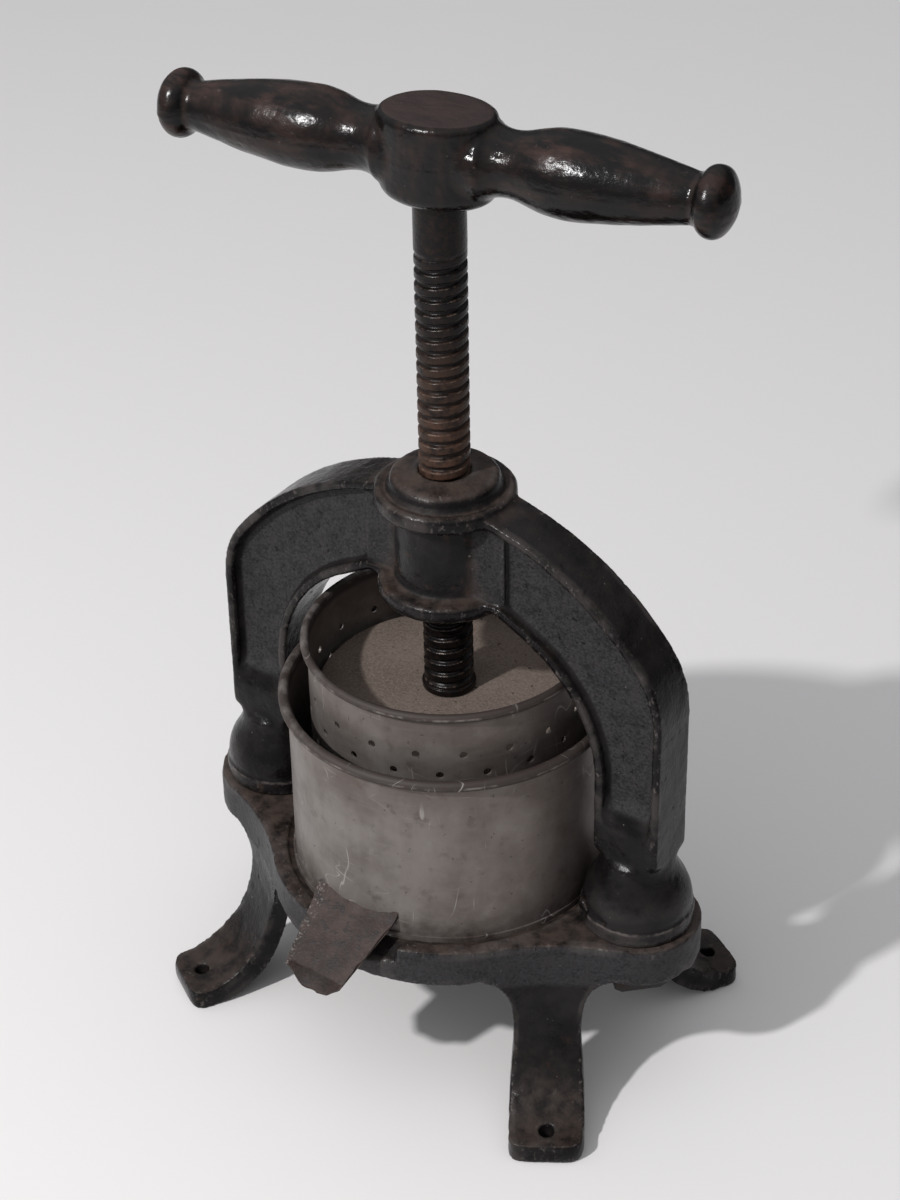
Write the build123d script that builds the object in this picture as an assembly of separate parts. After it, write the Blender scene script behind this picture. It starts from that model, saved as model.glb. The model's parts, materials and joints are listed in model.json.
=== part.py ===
from build123d import *
import math
import os

# A small cast-iron screw press with a tinned juice pot and a perforated strainer.
# Millimetres. The screw axis is Z, the arch lies along X and the spout points to -Y.
# The origin is on the floor, midway between the four foot holes.

# Base casting
base_top = 71.0
base_wall_height = 15.5
rim_land = 6.2
recess_depth = 2.0
recess_gap = 2.0
base_floor_thickness = 7.0
skirt_thickness = 7.5
pad_land = 2.7
outline_blend_radius = 95.0
base_edge_round = 0.8

# Legs of the base casting
foot_hole_x = 80.0
foot_hole_y = 58.5
foot_hole_diameter = 5.5
leg_azimuth = 58.0
leg_thickness = 7.5
leg_top_half_width = 24.0
leg_flare_angle = 17.0
waist_half_width = 12.6
waist_height = 27.0
toe_half_width = 13.8
toe_thickness = 8.0
toe_reach = 8.5
toe_corner_radius = 6.0
toe_flat = 5.0

# Juice pot of tinned sheet
pot_radius = 59.3
pot_height = 73.5
pot_sheet = 0.8
pot_bead_radius = 2.0
bead_gap = 0.3
seam_lip_height = 2.4
solder_gap = 0.1
wire_gap = 0.2

# Spout of the pot
spout_turn = -2.4
spout_slope = 31.0
spout_reach = 24.1
spout_root_half_width = 17.6
spout_mouth_half_width = 12.9
spout_depth = 7.0
spout_lip = 1.5
notch_half_width = 19.8
notch_floor_gap = 1.2

# Strainer of tinned sheet
strainer_radius = 51.0
strainer_height = 95.0
strainer_sheet = 0.8
strainer_bead_radius = 1.6
strainer_hole_width = 2.0
strainer_holes_per_row = 19
strainer_rows = 9
strainer_row_pitch = 8.45
strainer_top_row_drop = 18.3
strainer_first_hole = 7.0

# Press plate
plate_gap = 1.8
plate_thickness = 7.0
plate_rest_lift = 63.9
plate_edge_chamfer = 1.0

# Press screw and its swivel in the plate
screw_diameter = 18.0
screw_running_gap = 0.08
screw_collar_diameter = 19.6
screw_collar_height = 3.0
screw_length = 193.6
journal_diameter = 10.0
journal_gap = 0.1
journal_end = 0.4
swivel_recess_depth = 4.4
swivel_recess_gap = 2.0
swivel_washer_diameter = 24.0
swivel_washer_thickness = 1.4
swivel_gap = 0.2
swivel_pin_diameter = 2.0
swivel_pin_length = 18.0

# Handle casting
handle_turn = 8.5
handle_half_length = 102.5
handle_axis_drop = 14.3
hub_height = 30.4
hub_half_length = 20.5
hub_half_depth = 16.0
hub_top_round = 2.5
hub_bottom_round = 6.0
hub_flare_radius = 13.4
hub_flare_end = 18.5
hub_flare_angle = 45.0
grip_neck = 26.0
grip_neck_radius = 10.9
grip_peak = 46.0
grip_radius = 14.3
grip_end_angle = 8.5
knob_half_width = 7.5
knob_radius = 11.8
knob_edge_radius = 5.0
knob_neck_radius = 8.2
socket_depth = 22.0
pin_diameter = 5.0
pin_length = 22.0
pin_gap = 0.05

# Yoke casting: feet
foot_gap = 0.5
foot_radius = 20.8
foot_ring_height = 6.2
foot_groove_depth = 1.4
foot_groove_height = 1.6
bulb_radius = 20.0
bulb_waist = 11.4
bulb_height = 20.7
neck_radius = 13.4

# Yoke casting: columns and arch, heights above the base
column_half_depth = 13.1
yoke_half_width = 10.4
column_springing = 60.5
intrados_radius = 55.0
intrados_slope = 28.5
crown_height = 155.6
crown_radius = 110.0
shoulder_radius = 37.0
flange_thickness = 3.2
web_recess = 5.2
web_recess_end = 42.0
web_run_out = 12.0
web_end_radius = 4.0
web_draft = 8.0

# Yoke casting: boss that holds the screw thread, height above the base
boss_bottom = 112.0
boss_radius = 18.0
cheek_half_width = 29.5
cheek_recess = 2.6
ledge_radius = 24.6
ledge_height = 6.6
boss_ring_radius = 25.2
boss_ring_height = 7.0
collar_radius = 20.4
collar_height = 6.2
boss_round = 2.4

# Column studs, washers and nuts under the base
stud_diameter = 10.0
stud_gap = 0.05
stud_depth = 28.0
stud_end = 3.0
washer_diameter = 22.0
washer_thickness = 2.0
nut_across_flats = 19.0
nut_height = 12.0
nut_corner_dressing = 1.5
nut_turn = 45.0

# How far a cut runs past the face that it opens, and past the whole press
cut_past = 1.0
through = 200.0

# Sizes that follow from the ones above
base_bottom = base_top - base_wall_height
pot_seat = base_top - recess_depth
pot_floor_top = pot_seat + pot_sheet
pot_foot_radius = pot_radius + pot_sheet
pot_top = pot_seat + pot_height
recess_radius = pot_foot_radius + recess_gap
ring_radius = recess_radius + rim_land
column_x = pot_foot_radius + foot_gap + foot_radius
column_in = column_x - column_half_depth
column_out = column_x + column_half_depth
column_neck = base_top + foot_ring_height + foot_groove_height + bulb_height
pad_radius = foot_radius + pad_land
crown_top = base_top + crown_height
spout_start = pot_radius - spout_root_half_width / 2
spout_end = pot_radius + spout_reach
spout_taper = (spout_root_half_width - spout_mouth_half_width) / spout_reach
strainer_floor_top = pot_floor_top + strainer_sheet
strainer_inner = strainer_radius - strainer_sheet
strainer_top = pot_floor_top + strainer_height
plate_radius = strainer_inner - plate_gap
plate_bottom = strainer_floor_top + plate_rest_lift
plate_top = plate_bottom + plate_thickness
swivel_washer_top = plate_bottom + swivel_recess_depth - swivel_gap
swivel_pin_height = swivel_washer_top - swivel_washer_thickness - swivel_pin_diameter / 2
screw_radius = screw_diameter / 2
journal_radius = journal_diameter / 2
hub_bottom = plate_top + screw_length
hub_top = hub_bottom + hub_height
handle_axis = hub_top - handle_axis_drop
handle_pin_height = hub_bottom + socket_depth / 2
stud_radius = stud_diameter / 2
nut_top = base_bottom - washer_thickness
nut_bottom = nut_top - nut_height

ON_BASE = (Align.CENTER, Align.CENTER, Align.MIN)


def polar(radius, degrees):
    return radius * math.cos(math.radians(degrees)), radius * math.sin(math.radians(degrees))


def post(radius, bottom, top, x=0.0, y=0.0):
    """An upright cylinder between two heights."""
    return Pos(x, y, bottom) * Cylinder(radius, top - bottom, align=ON_BASE)


def arc_about(centre, start, end):
    """The arc under half a circle from start to end, about the given centre."""
    middle = Vector(*centre)
    first = Vector(*start)
    halfway = (first + Vector(*end)) * 0.5
    reach = (first - middle).length
    return ThreePointArc(start, middle + (halfway - middle).normalized() * reach, end)


def four_corners(shape):
    """A shape in one quadrant of the plan with its three mirror images."""
    pair = [shape, mirror(shape, Plane.YZ)]
    return pair + [mirror(one, Plane.XZ) for one in pair]


def turned(*points):
    """A closed outline of (radius, height) points, revolved about Z."""
    return revolve(Plane.XZ * make_face(Polyline(*points, close=True)), Axis.Z)


def blend_centre():
    """Centre of the wide hollow curve that joins the base's ring to its pad."""
    to_ring = ring_radius + outline_blend_radius
    to_pad = pad_radius + outline_blend_radius
    x = (column_x**2 + to_ring**2 - to_pad**2) / (2 * column_x)
    return x, math.sqrt(to_ring**2 - x**2)


def base_outline():
    """Round plate with a pad at each end, joined by wide hollow curves."""
    x, y = blend_centre()
    ring_share = ring_radius / (ring_radius + outline_blend_radius)
    pad_share = pad_radius / (pad_radius + outline_blend_radius)
    on_ring = (x * ring_share, y * ring_share)
    on_pad = (column_x + (x - column_x) * pad_share, y * pad_share)
    quarter = [
        arc_about((0, 0), (0, ring_radius), on_ring),
        arc_about((x, y), on_ring, on_pad),
        arc_about((column_x, 0), on_pad, (column_x + pad_radius, 0)),
    ]
    edges = []
    for edge in quarter:
        edges += four_corners(edge)
    return make_face(edges)


def leg_wall_distance():
    """How far a foot hole stands out from the base's wall, along its leg."""
    x, y = blend_centre()
    along_x, along_y = polar(1, leg_azimuth)
    off_x = foot_hole_x - x
    off_y = foot_hole_y - y
    along = off_x * along_x + off_y * along_y
    return along + math.sqrt(along**2 + outline_blend_radius**2 - off_x**2 - off_y**2)


def leg_outside(toe, rooted):
    """Side view of a leg, filled in behind: a hollow curve down to a flat toe."""
    run = toe - toe_flat
    drop = base_bottom - toe_thickness
    corners = [(run, toe_thickness), (toe, toe_thickness), (toe, 0)]
    corners += [(-leg_thickness, 0), (-leg_thickness, rooted), (0, rooted), (0, base_bottom)]
    curve = EllipticalCenterArc((run, base_bottom), run, drop, 180, arc_size=90)
    return make_face([curve, Polyline(*corners)])


def leg_inside(toe):
    """Side view of the hollow behind a leg."""
    run = toe - toe_flat - leg_thickness / 2
    curve = EllipticalCenterArc((run, base_bottom), run + leg_thickness, base_bottom, 180, arc_size=90)
    return make_face([curve, Polyline((run, 0), (-leg_thickness, 0), (-leg_thickness, base_bottom))])


def leg_front(rooted):
    """Front view of a leg: a straight toe, a waist and a flare into the base's wall."""
    side_curve = Spline(
        (toe_half_width, toe_thickness),
        (waist_half_width, waist_height),
        (leg_top_half_width, base_bottom),
        tangents=((0, 1), polar(1, leg_flare_angle)),
    )
    half = [
        Polyline((0, 0), (toe_half_width, 0), (toe_half_width, toe_thickness)),
        side_curve,
        Polyline((leg_top_half_width, base_bottom), (leg_top_half_width, rooted), (0, rooted)),
    ]
    return make_face(half + [mirror(line, Plane.YZ) for line in half])


def leg_plan(toe):
    """Plan of a leg, with its toe's corners rounded."""
    wide = leg_top_half_width
    bend = toe - toe_corner_radius
    side = toe_half_width - toe_corner_radius
    half = [
        Polyline((-wide, 0), (-wide, wide), (bend, wide), (bend, toe_half_width)),
        arc_about((bend, side), (bend, toe_half_width), (toe, side)),
        Line((toe, side), (toe, 0)),
    ]
    return make_face(half + [mirror(line, Plane.XZ) for line in half])


def leg(outline):
    """One splayed leg: a curved strap, flared into the base's wall, with a rounded toe."""
    along_x, along_y = polar(1, leg_azimuth)
    hole = leg_wall_distance()
    toe = hole + toe_reach
    rooted = base_bottom + leg_thickness
    wall_point = (foot_hole_x - hole * along_x, foot_hole_y - hole * along_y, 0)
    side = Plane(wall_point, x_dir=(along_x, along_y, 0), z_dir=(along_y, -along_x, 0))
    front = Plane(wall_point, x_dir=(along_y, -along_x, 0), z_dir=(-along_x, -along_y, 0))
    plan = Plane(wall_point, x_dir=(along_x, along_y, 0))

    strap = extrude(side * leg_outside(toe, rooted), leg_top_half_width, both=True)
    skirt_side = Pos(0, rooted / 2) * Rectangle(2 * leg_thickness, rooted)
    skirt = extrude(outline, rooted) & extrude(side * skirt_side, leg_top_half_width, both=True)
    body = strap + skirt - extrude(side * leg_inside(toe), through, both=True)
    body &= extrude(front * leg_front(rooted), through, both=True)
    body &= extrude(plan * leg_plan(toe), rooted)
    return body - post(foot_hole_diameter / 2, -cut_past, base_bottom, foot_hole_x, foot_hole_y)


def spout_line(radius, below_roof=0.0):
    """Height of the spout's roof, or of a line below it, at a distance from the pot's axis."""
    roof_at_pot = pot_floor_top + spout_depth - pot_sheet
    return roof_at_pot - below_roof - (radius - pot_radius) * math.tan(math.radians(spout_slope))


def spout_notch():
    """Sloping slot in the base's rim that lets the spout out."""
    inside = recess_radius - rim_land
    outside = ring_radius + rim_land
    depth = spout_depth + notch_floor_gap
    outline = Polyline(
        (-inside, spout_line(inside, depth)),
        (-outside, spout_line(outside, depth)),
        (-outside, base_top + depth),
        (-inside, base_top + depth),
        close=True,
    )
    return extrude(Plane.YZ * make_face(outline), notch_half_width, both=True)


def base_casting():
    outline = base_outline()
    body = extrude(Pos(0, 0, base_bottom) * outline, base_wall_height)
    body -= post(ring_radius - skirt_thickness, base_bottom - cut_past, pot_seat - base_floor_thickness)
    body += four_corners(leg(outline))
    body -= post(recess_radius, pot_seat, base_top + cut_past)
    body = fillet(body.faces().sort_by(Axis.Z)[-1].outer_wire().edges(), base_edge_round)
    body -= spout_notch()
    for x in (-column_x, column_x):
        body -= post(stud_radius + stud_gap, base_bottom - cut_past, base_top + cut_past, x)
    return body


def arch_lines(inset, bottom):
    """Closed outline of the arch and its columns, drawn inset from the casting's edges."""
    spring = base_top + column_springing
    crown_middle = crown_top - crown_radius
    shoulder_x = column_out - shoulder_radius
    to_shoulder = crown_radius - shoulder_radius
    shoulder_z = crown_middle + math.sqrt(to_shoulder**2 - shoulder_x**2)
    crown_reach = (crown_radius - inset) / to_shoulder
    crown_end = (shoulder_x * crown_reach, crown_middle + (shoulder_z - crown_middle) * crown_reach)
    hollow_x = column_in - intrados_radius
    hollow_run, hollow_rise = polar(intrados_radius + inset, 90 - intrados_slope)
    hollow_end = (hollow_x + hollow_run, spring + hollow_rise)
    boss_flat = base_top + boss_bottom + ledge_height / 2 + inset
    boss_meeting = hollow_end[0] - (boss_flat - hollow_end[1]) / math.tan(math.radians(intrados_slope))
    half = [
        arc_about((0, crown_middle), (0, crown_top - inset), crown_end),
        arc_about((shoulder_x, shoulder_z), crown_end, (column_out - inset, shoulder_z)),
        Line((column_out - inset, shoulder_z), (column_out - inset, bottom)),
        Line((column_out - inset, bottom), (column_in + inset, bottom)),
        Line((column_in + inset, bottom), (column_in + inset, spring)),
        arc_about((hollow_x, spring), (column_in + inset, spring), hollow_end),
        Line(hollow_end, (boss_meeting, boss_flat)),
        Line((boss_meeting, boss_flat), (0, boss_flat)),
    ]
    return half + [mirror(line, Plane.YZ) for line in half]


def web_pocket():
    """Drafted hollow on the front of the arch that leaves its web and two flanges and runs out at its foot."""
    draft_run = web_recess * math.tan(math.radians(web_draft))
    front_end = base_top + web_recess_end
    ends = []
    for depth, drawn_in, bottom in ((0, 0, front_end), (web_recess, draft_run, front_end + web_run_out)):
        shape = Plane.XZ * make_face(arch_lines(flange_thickness + drawn_in, bottom))
        low_corners = shape.vertices().filter_by(lambda corner: abs(corner.Z - bottom) < flange_thickness)
        ends.append(Pos(0, depth - yoke_half_width, 0) * fillet(low_corners, web_end_radius - drawn_in))
    return loft(ends, ruled=True)


def boss_cheeks():
    """Thicker web on both sides of the boss, a step up from the pocket's floor."""
    slab = extrude(Plane.XZ * make_face(arch_lines(0, column_neck)), yoke_half_width - cheek_recess, both=True)
    return slab & Pos(0, 0, crown_top) * Box(2 * cheek_half_width, 2 * yoke_half_width, 2 * crown_height)


def column_foot():
    """Turned foot under a column: a ring, a groove and a bulb drawn in to a neck."""
    ring_top = base_top + foot_ring_height
    bulb_bottom = ring_top + foot_groove_height
    groove_radius = foot_radius - foot_groove_depth
    ring_side = Polyline(
        (0, base_top),
        (foot_radius, base_top),
        (foot_radius, ring_top),
        (groove_radius, ring_top),
        (groove_radius, bulb_bottom),
        (bulb_radius, bulb_bottom),
    )
    bulb_side = Spline(
        (bulb_radius, bulb_bottom),
        ((bulb_radius + neck_radius) / 2, bulb_bottom + bulb_waist),
        (neck_radius, column_neck),
        tangents=((0, 1), (0, 1)),
    )
    closing = Polyline((neck_radius, column_neck), (0, column_neck), (0, base_top))
    return Pos(column_x, 0, 0) * revolve(Plane.XZ * make_face([ring_side, bulb_side, closing]), Axis.Z)


def screw_boss():
    """Barrel round the screw, with a ledge below, a ring above and a round collar on top."""
    bottom = base_top + boss_bottom
    body = post(boss_radius, bottom, crown_top)
    ledge = post(ledge_radius, bottom, bottom + ledge_height)
    ring = post(boss_ring_radius, crown_top - boss_ring_height, crown_top)
    collar = post(collar_radius, crown_top, crown_top + collar_height)
    body += fillet(ledge.edges().filter_by(GeomType.CIRCLE), boss_round)
    body += fillet(ring.edges().filter_by(GeomType.CIRCLE), boss_round)
    return body + fillet(collar.edges().sort_by(Axis.Z)[-1], boss_round)


def column_ends():
    """What is trimmed off both columns so that they draw in to their round necks."""
    flare = column_half_depth + yoke_half_width
    cone = Cone(neck_radius, neck_radius + flare, flare, align=ON_BASE)
    ring = Cylinder(2 * flare, flare, align=ON_BASE) - cone
    return [Pos(x, 0, column_neck) * ring for x in (-column_x, column_x)]


def yoke_casting():
    body = extrude(Plane.XZ * make_face(arch_lines(0, column_neck)), yoke_half_width, both=True)
    pocket = web_pocket()
    body -= [pocket, mirror(pocket, Plane.XZ)]
    body += boss_cheeks()
    body -= column_ends()
    foot = column_foot()
    body += [foot, mirror(foot, Plane.YZ)]
    body += screw_boss()
    body -= post(screw_radius + screw_running_gap, base_top, crown_top + collar_height + cut_past)
    for x in (-column_x, column_x):
        body -= post(stud_radius + stud_gap, base_top - cut_past, base_top + stud_depth, x)
    return body


def column_stud():
    return post(stud_radius, nut_bottom - stud_end, base_top + stud_depth - stud_gap, column_x)


def column_washer():
    washer = post(washer_diameter / 2, nut_top, base_bottom, column_x)
    return washer - post(stud_radius + stud_gap, nut_top - cut_past, base_bottom + cut_past, column_x)


def column_nut():
    """Square nut with its lower corners dressed off."""
    block = Rot(0, 0, nut_turn) * Box(nut_across_flats, nut_across_flats, nut_height, align=ON_BASE)
    dressed = nut_across_flats / math.sqrt(2) - nut_corner_dressing
    cone = Cone(dressed, dressed + nut_height, nut_height, align=ON_BASE)
    nut = Pos(column_x, 0, nut_bottom) * (block & cone)
    return nut - post(stud_radius + stud_gap, nut_bottom - cut_past, nut_top + cut_past, column_x)


def sheet_wall(radius, sheet, bead, bottom, top):
    """Round sheet wall whose top edge is rolled outwards round a wire, almost back to the wall."""
    wire_ring = radius - sheet + bead
    rim_height = top - bead
    roll = Circle(bead) - Circle(bead - sheet)
    roll_end = -math.degrees(math.acos((sheet + bead_gap - bead) / bead))
    slit = make_face(Polyline((0, 0), (-2 * bead, 0), polar(4 * bead, roll_end), close=True))
    wall = Pos(radius - sheet / 2, (bottom + rim_height) / 2) * Rectangle(sheet, rim_height - bottom)
    return revolve(Plane.XZ * (Pos(wire_ring, rim_height) * (roll - slit) + wall), Axis.Z)


def rim_wire(radius, sheet, bead, top):
    wire = Pos(radius - sheet + bead, top - bead) * Circle(bead - sheet - wire_gap)
    return revolve(Plane.XZ * wire, Axis.Z)


def sheet_floor(radius, sheet, bottom):
    """Round sheet floor whose turned-up lip is soldered outside the wall."""
    inside = radius + solder_gap
    outside = radius + sheet
    return turned(
        (0, bottom),
        (outside, bottom),
        (outside, bottom + seam_lip_height),
        (inside, bottom + seam_lip_height),
        (inside, bottom + sheet),
        (0, bottom + sheet),
    )


def spout_section(radius, inset):
    """D-shaped section of the spout, flat on top, standing across it at a distance from the axis."""
    roof = spout_line(radius)
    keel = spout_line(radius, spout_depth - inset)
    half = spout_root_half_width - (radius - pot_radius) * spout_taper - inset
    edge = [Line((-half, roof), (half, roof)), ThreePointArc((half, roof), (0, keel), (-half, roof))]
    return Plane.XZ.offset(radius) * make_face(edge)


def spout_form(inset, start, end):
    """Tapering D-shaped channel between two distances from the pot's axis."""
    return loft([spout_section(radius, inset) for radius in (start, end)])


def spout_at_pot(shape):
    """Ends the spout at the pot's wall and seam, and turns it to its place."""
    shape -= post(pot_radius + solder_gap, 0, pot_top)
    shape -= post(pot_foot_radius + solder_gap, 0, pot_seat + seam_lip_height + solder_gap)
    return Rot(0, 0, spout_turn) * shape


def spout_trough():
    end = spout_end + spout_lip
    hollow = spout_form(pot_sheet, spout_start - cut_past, end + cut_past)
    return spout_at_pot(spout_form(0, spout_start, end) - hollow)


def spout_cover():
    """Flat sheet roof of the spout."""
    roof = Polyline(
        (-spout_start, spout_line(spout_start)),
        (-spout_end, spout_line(spout_end)),
        (-spout_end, spout_line(spout_end) + pot_sheet),
        (-spout_start, spout_line(spout_start) + pot_sheet),
        close=True,
    )
    slab = extrude(Plane.YZ * make_face(roof), through, both=True)
    root = spout_root_half_width + (pot_radius - spout_start) * spout_taper
    plan = Polyline(
        (-root, -spout_start),
        (-spout_mouth_half_width, -spout_end),
        (spout_mouth_half_width, -spout_end),
        (root, -spout_start),
        close=True,
    )
    return spout_at_pot(slab & extrude(make_face(plan), pot_top))


def pot_wall():
    wall = sheet_wall(pot_radius, pot_sheet, pot_bead_radius, pot_floor_top, pot_top)
    outlet = spout_form(pot_sheet, spout_start, spout_end) & post(spout_end, pot_floor_top, pot_top)
    return wall - Rot(0, 0, spout_turn) * outlet


def strainer_wall():
    """Sheet cylinder with staggered rows of small drain holes, square so that they stay light."""
    wall = sheet_wall(strainer_radius, strainer_sheet, strainer_bead_radius, strainer_floor_top, strainer_top)
    punch = Plane.YZ * Rectangle(strainer_hole_width, strainer_hole_width)
    punch = Pos(strainer_inner - cut_past, 0, 0) * extrude(punch, strainer_sheet + 2 * cut_past)
    step = 360 / strainer_holes_per_row
    punches = []
    for row in range(strainer_rows):
        height = strainer_top - strainer_top_row_drop - row * strainer_row_pitch
        start = strainer_first_hole + step / 2 * (row % 2)
        for place in range(strainer_holes_per_row):
            punches.append(Rot(0, 0, start + place * step) * Pos(0, 0, height) * punch)
    return wall - punches


def press_plate():
    """Cast disc with a bore for the screw's journal and a recess for its swivel below."""
    disc = post(plate_radius, plate_bottom, plate_top)
    disc = chamfer(disc.edges().filter_by(GeomType.CIRCLE), plate_edge_chamfer)
    disc -= post(journal_radius + journal_gap, plate_bottom - cut_past, plate_top + cut_past)
    recess_radius = swivel_washer_diameter / 2 + swivel_recess_gap
    return disc - post(recess_radius, plate_bottom - cut_past, plate_bottom + swivel_recess_depth)


def swivel_washer():
    washer = post(swivel_washer_diameter / 2, swivel_washer_top - swivel_washer_thickness, swivel_washer_top)
    return washer - post(journal_radius + journal_gap, plate_bottom, plate_top)


def swivel_bar(radius):
    """A bar across the screw's journal, where the swivel pin goes."""
    bar = Rot(0, 0, handle_turn) * Rot(0, 90, 0) * Cylinder(radius, swivel_pin_length)
    return Pos(0, 0, swivel_pin_height) * bar


def handle_bar(radius, length):
    """A bar into the back of the handle's hub, where the handle pin goes."""
    bar = Rot(90, 0, 0) * Cylinder(radius, length, align=ON_BASE)
    return Rot(0, 0, handle_turn) * Pos(0, hub_half_depth - pin_gap, handle_pin_height) * bar


def press_screw():
    """Screw with a shoulder collar and a journal below, its top shank fixed in the handle."""
    shoulder = plate_top + swivel_gap
    collar_top = plate_top + screw_collar_height
    body = post(screw_radius, shoulder, hub_bottom + socket_depth - pin_gap)
    body += post(screw_collar_diameter / 2, shoulder, collar_top)
    body += post(journal_radius, plate_bottom + journal_end, collar_top)
    body -= swivel_bar(swivel_pin_diameter / 2 + pin_gap)
    return body - handle_bar(pin_diameter / 2 + pin_gap, pin_length + pin_gap)


def knob_lines():
    """Half outline of a flattened knob, from its neck to its tip: an edge arc and an end arc."""
    middle = handle_half_length - knob_half_width
    edge_height = knob_radius - knob_edge_radius
    neck_rise = knob_neck_radius - edge_height
    neck = (middle - math.sqrt(knob_edge_radius**2 - neck_rise**2), knob_neck_radius)
    end_reach = knob_half_width**2 + edge_height**2 - knob_edge_radius**2
    end_radius = end_reach / (2 * (knob_half_width - knob_edge_radius))
    end_middle = handle_half_length - end_radius
    share = end_radius / (end_radius - knob_edge_radius)
    meeting = (end_middle + (middle - end_middle) * share, edge_height * share)
    tip = (handle_half_length, 0)
    return neck, [arc_about((middle, edge_height), neck, meeting), arc_about((end_middle, 0), meeting, tip)]


def handle_grip():
    """One turned arm along +X: a swelling grip and a round knob, revolved about the handle's axis."""
    knob_neck, knob = knob_lines()
    root = (hub_flare_end, hub_flare_radius)
    neck = (grip_neck, grip_neck_radius)
    peak = (grip_peak, grip_radius)
    swell = Spline(root, neck, peak, tangents=(polar(1, -hub_flare_angle), (1, 0)))
    taper = Spline(peak, knob_neck, tangents=((1, 0), polar(1, -grip_end_angle)))
    closing = Polyline((handle_half_length, 0), (0, 0), (0, hub_flare_radius), root)
    return revolve(Plane.XZ * make_face([closing, swell, taper] + knob), Axis.X)


def handle_casting():
    arm = handle_grip()
    arms = Pos(0, 0, handle_axis) * (arm + mirror(arm, Plane.YZ))
    hub = extrude(Pos(0, 0, hub_bottom) * Ellipse(hub_half_length, hub_half_depth), hub_height)
    hub = fillet(hub.edges().group_by(Axis.Z)[-1], hub_top_round)
    hub = fillet(hub.edges().group_by(Axis.Z)[0], hub_bottom_round)
    body = Rot(0, 0, handle_turn) * (hub + arms)
    body -= post(screw_radius + pin_gap, hub_bottom - cut_past, hub_bottom + socket_depth)
    return body - handle_bar(pin_diameter / 2 + pin_gap, pin_length + pin_gap)


def all_parts():
    parts = {
        "base_casting": base_casting(),
        "yoke_casting": yoke_casting(),
        "pot_wall": pot_wall(),
        "pot_rim_wire": rim_wire(pot_radius, pot_sheet, pot_bead_radius, pot_top),
        "pot_floor": sheet_floor(pot_radius, pot_sheet, pot_seat),
        "spout_trough": spout_trough(),
        "spout_cover": spout_cover(),
        "strainer_wall": strainer_wall(),
        "strainer_rim_wire": rim_wire(strainer_radius, strainer_sheet, strainer_bead_radius, strainer_top),
        "strainer_floor": sheet_floor(strainer_radius, strainer_sheet, pot_floor_top),
        "press_plate": press_plate(),
        "press_screw": press_screw(),
        "swivel_washer": swivel_washer(),
        "swivel_pin": swivel_bar(swivel_pin_diameter / 2),
        "handle_casting": handle_casting(),
        "handle_pin": handle_bar(pin_diameter / 2, pin_length),
    }
    for name, shape in (("stud", column_stud()), ("washer", column_washer()), ("nut", column_nut())):
        parts["right_column_" + name] = shape
        parts["left_column_" + name] = mirror(shape, Plane.YZ)
    return parts


os.makedirs("parts", exist_ok=True)
for node, shape in all_parts().items():
    export_step(shape, f"parts/{node}.step")
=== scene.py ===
import json
import math

import bmesh
import bpy
import numpy as np
from mathutils import Matrix, Vector

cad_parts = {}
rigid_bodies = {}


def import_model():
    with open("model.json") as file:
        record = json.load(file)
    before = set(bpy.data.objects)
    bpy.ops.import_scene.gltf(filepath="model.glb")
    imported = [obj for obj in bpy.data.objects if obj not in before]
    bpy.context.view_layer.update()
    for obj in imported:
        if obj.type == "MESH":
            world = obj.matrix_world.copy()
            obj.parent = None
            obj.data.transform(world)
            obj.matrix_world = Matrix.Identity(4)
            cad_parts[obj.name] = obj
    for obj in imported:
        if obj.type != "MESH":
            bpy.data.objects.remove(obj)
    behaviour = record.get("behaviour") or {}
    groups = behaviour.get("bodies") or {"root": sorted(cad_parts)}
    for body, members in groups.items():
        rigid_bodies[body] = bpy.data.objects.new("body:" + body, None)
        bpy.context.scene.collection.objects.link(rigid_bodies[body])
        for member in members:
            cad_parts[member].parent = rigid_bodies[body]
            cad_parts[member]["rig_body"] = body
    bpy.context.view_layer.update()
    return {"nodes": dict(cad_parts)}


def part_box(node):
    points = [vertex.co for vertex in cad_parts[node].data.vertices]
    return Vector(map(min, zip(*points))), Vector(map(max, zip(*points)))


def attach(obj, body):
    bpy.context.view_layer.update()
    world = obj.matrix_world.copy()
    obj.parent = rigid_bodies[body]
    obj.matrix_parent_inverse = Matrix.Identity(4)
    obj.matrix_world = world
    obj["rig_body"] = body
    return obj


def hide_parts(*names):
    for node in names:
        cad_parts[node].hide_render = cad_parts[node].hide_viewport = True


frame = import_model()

# Looks of a small cast-iron screw press, built round its solids. Lengths are in metres.
MM = 0.001

# Camera of the photograph, in the part's frame
CAMERA_PLACE = (0.45663, -0.64988, 0.70760)
CAMERA_RIGHT = (0.82509, 0.56475, -0.01677)
CAMERA_BACK = (0.47752, -0.68118, 0.55496)
CAMERA_LENS = 80.32
SENSOR_SIZE = 36.0

# Light: a small lamp from the left front, in a room that is pale overhead and dim near the floor
LAMP_BEARING = -105.0
LAMP_HEIGHT_ANGLE = 42.0
LAMP_DISTANCE = 1.7
LAMP_SIZE = 0.08
LAMP_POWER = 26.5
LAMP_AIM = (0.0, 0.0, 0.16)
ROOM_BRIGHT = (1.12, 1.13, 1.165)
ROOM_DIM = (0.105, 0.105, 0.11)
ROOM_STRENGTH = 0.80
ROOM_TILT = 68.0
ROOM_SPREAD = (-0.05, 0.93)
FLOOR_SIZE = 12.0
FLOOR_DROP = 0.1 * MM
FLOOR_COLOUR = (0.665, 0.650, 0.642)

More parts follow.
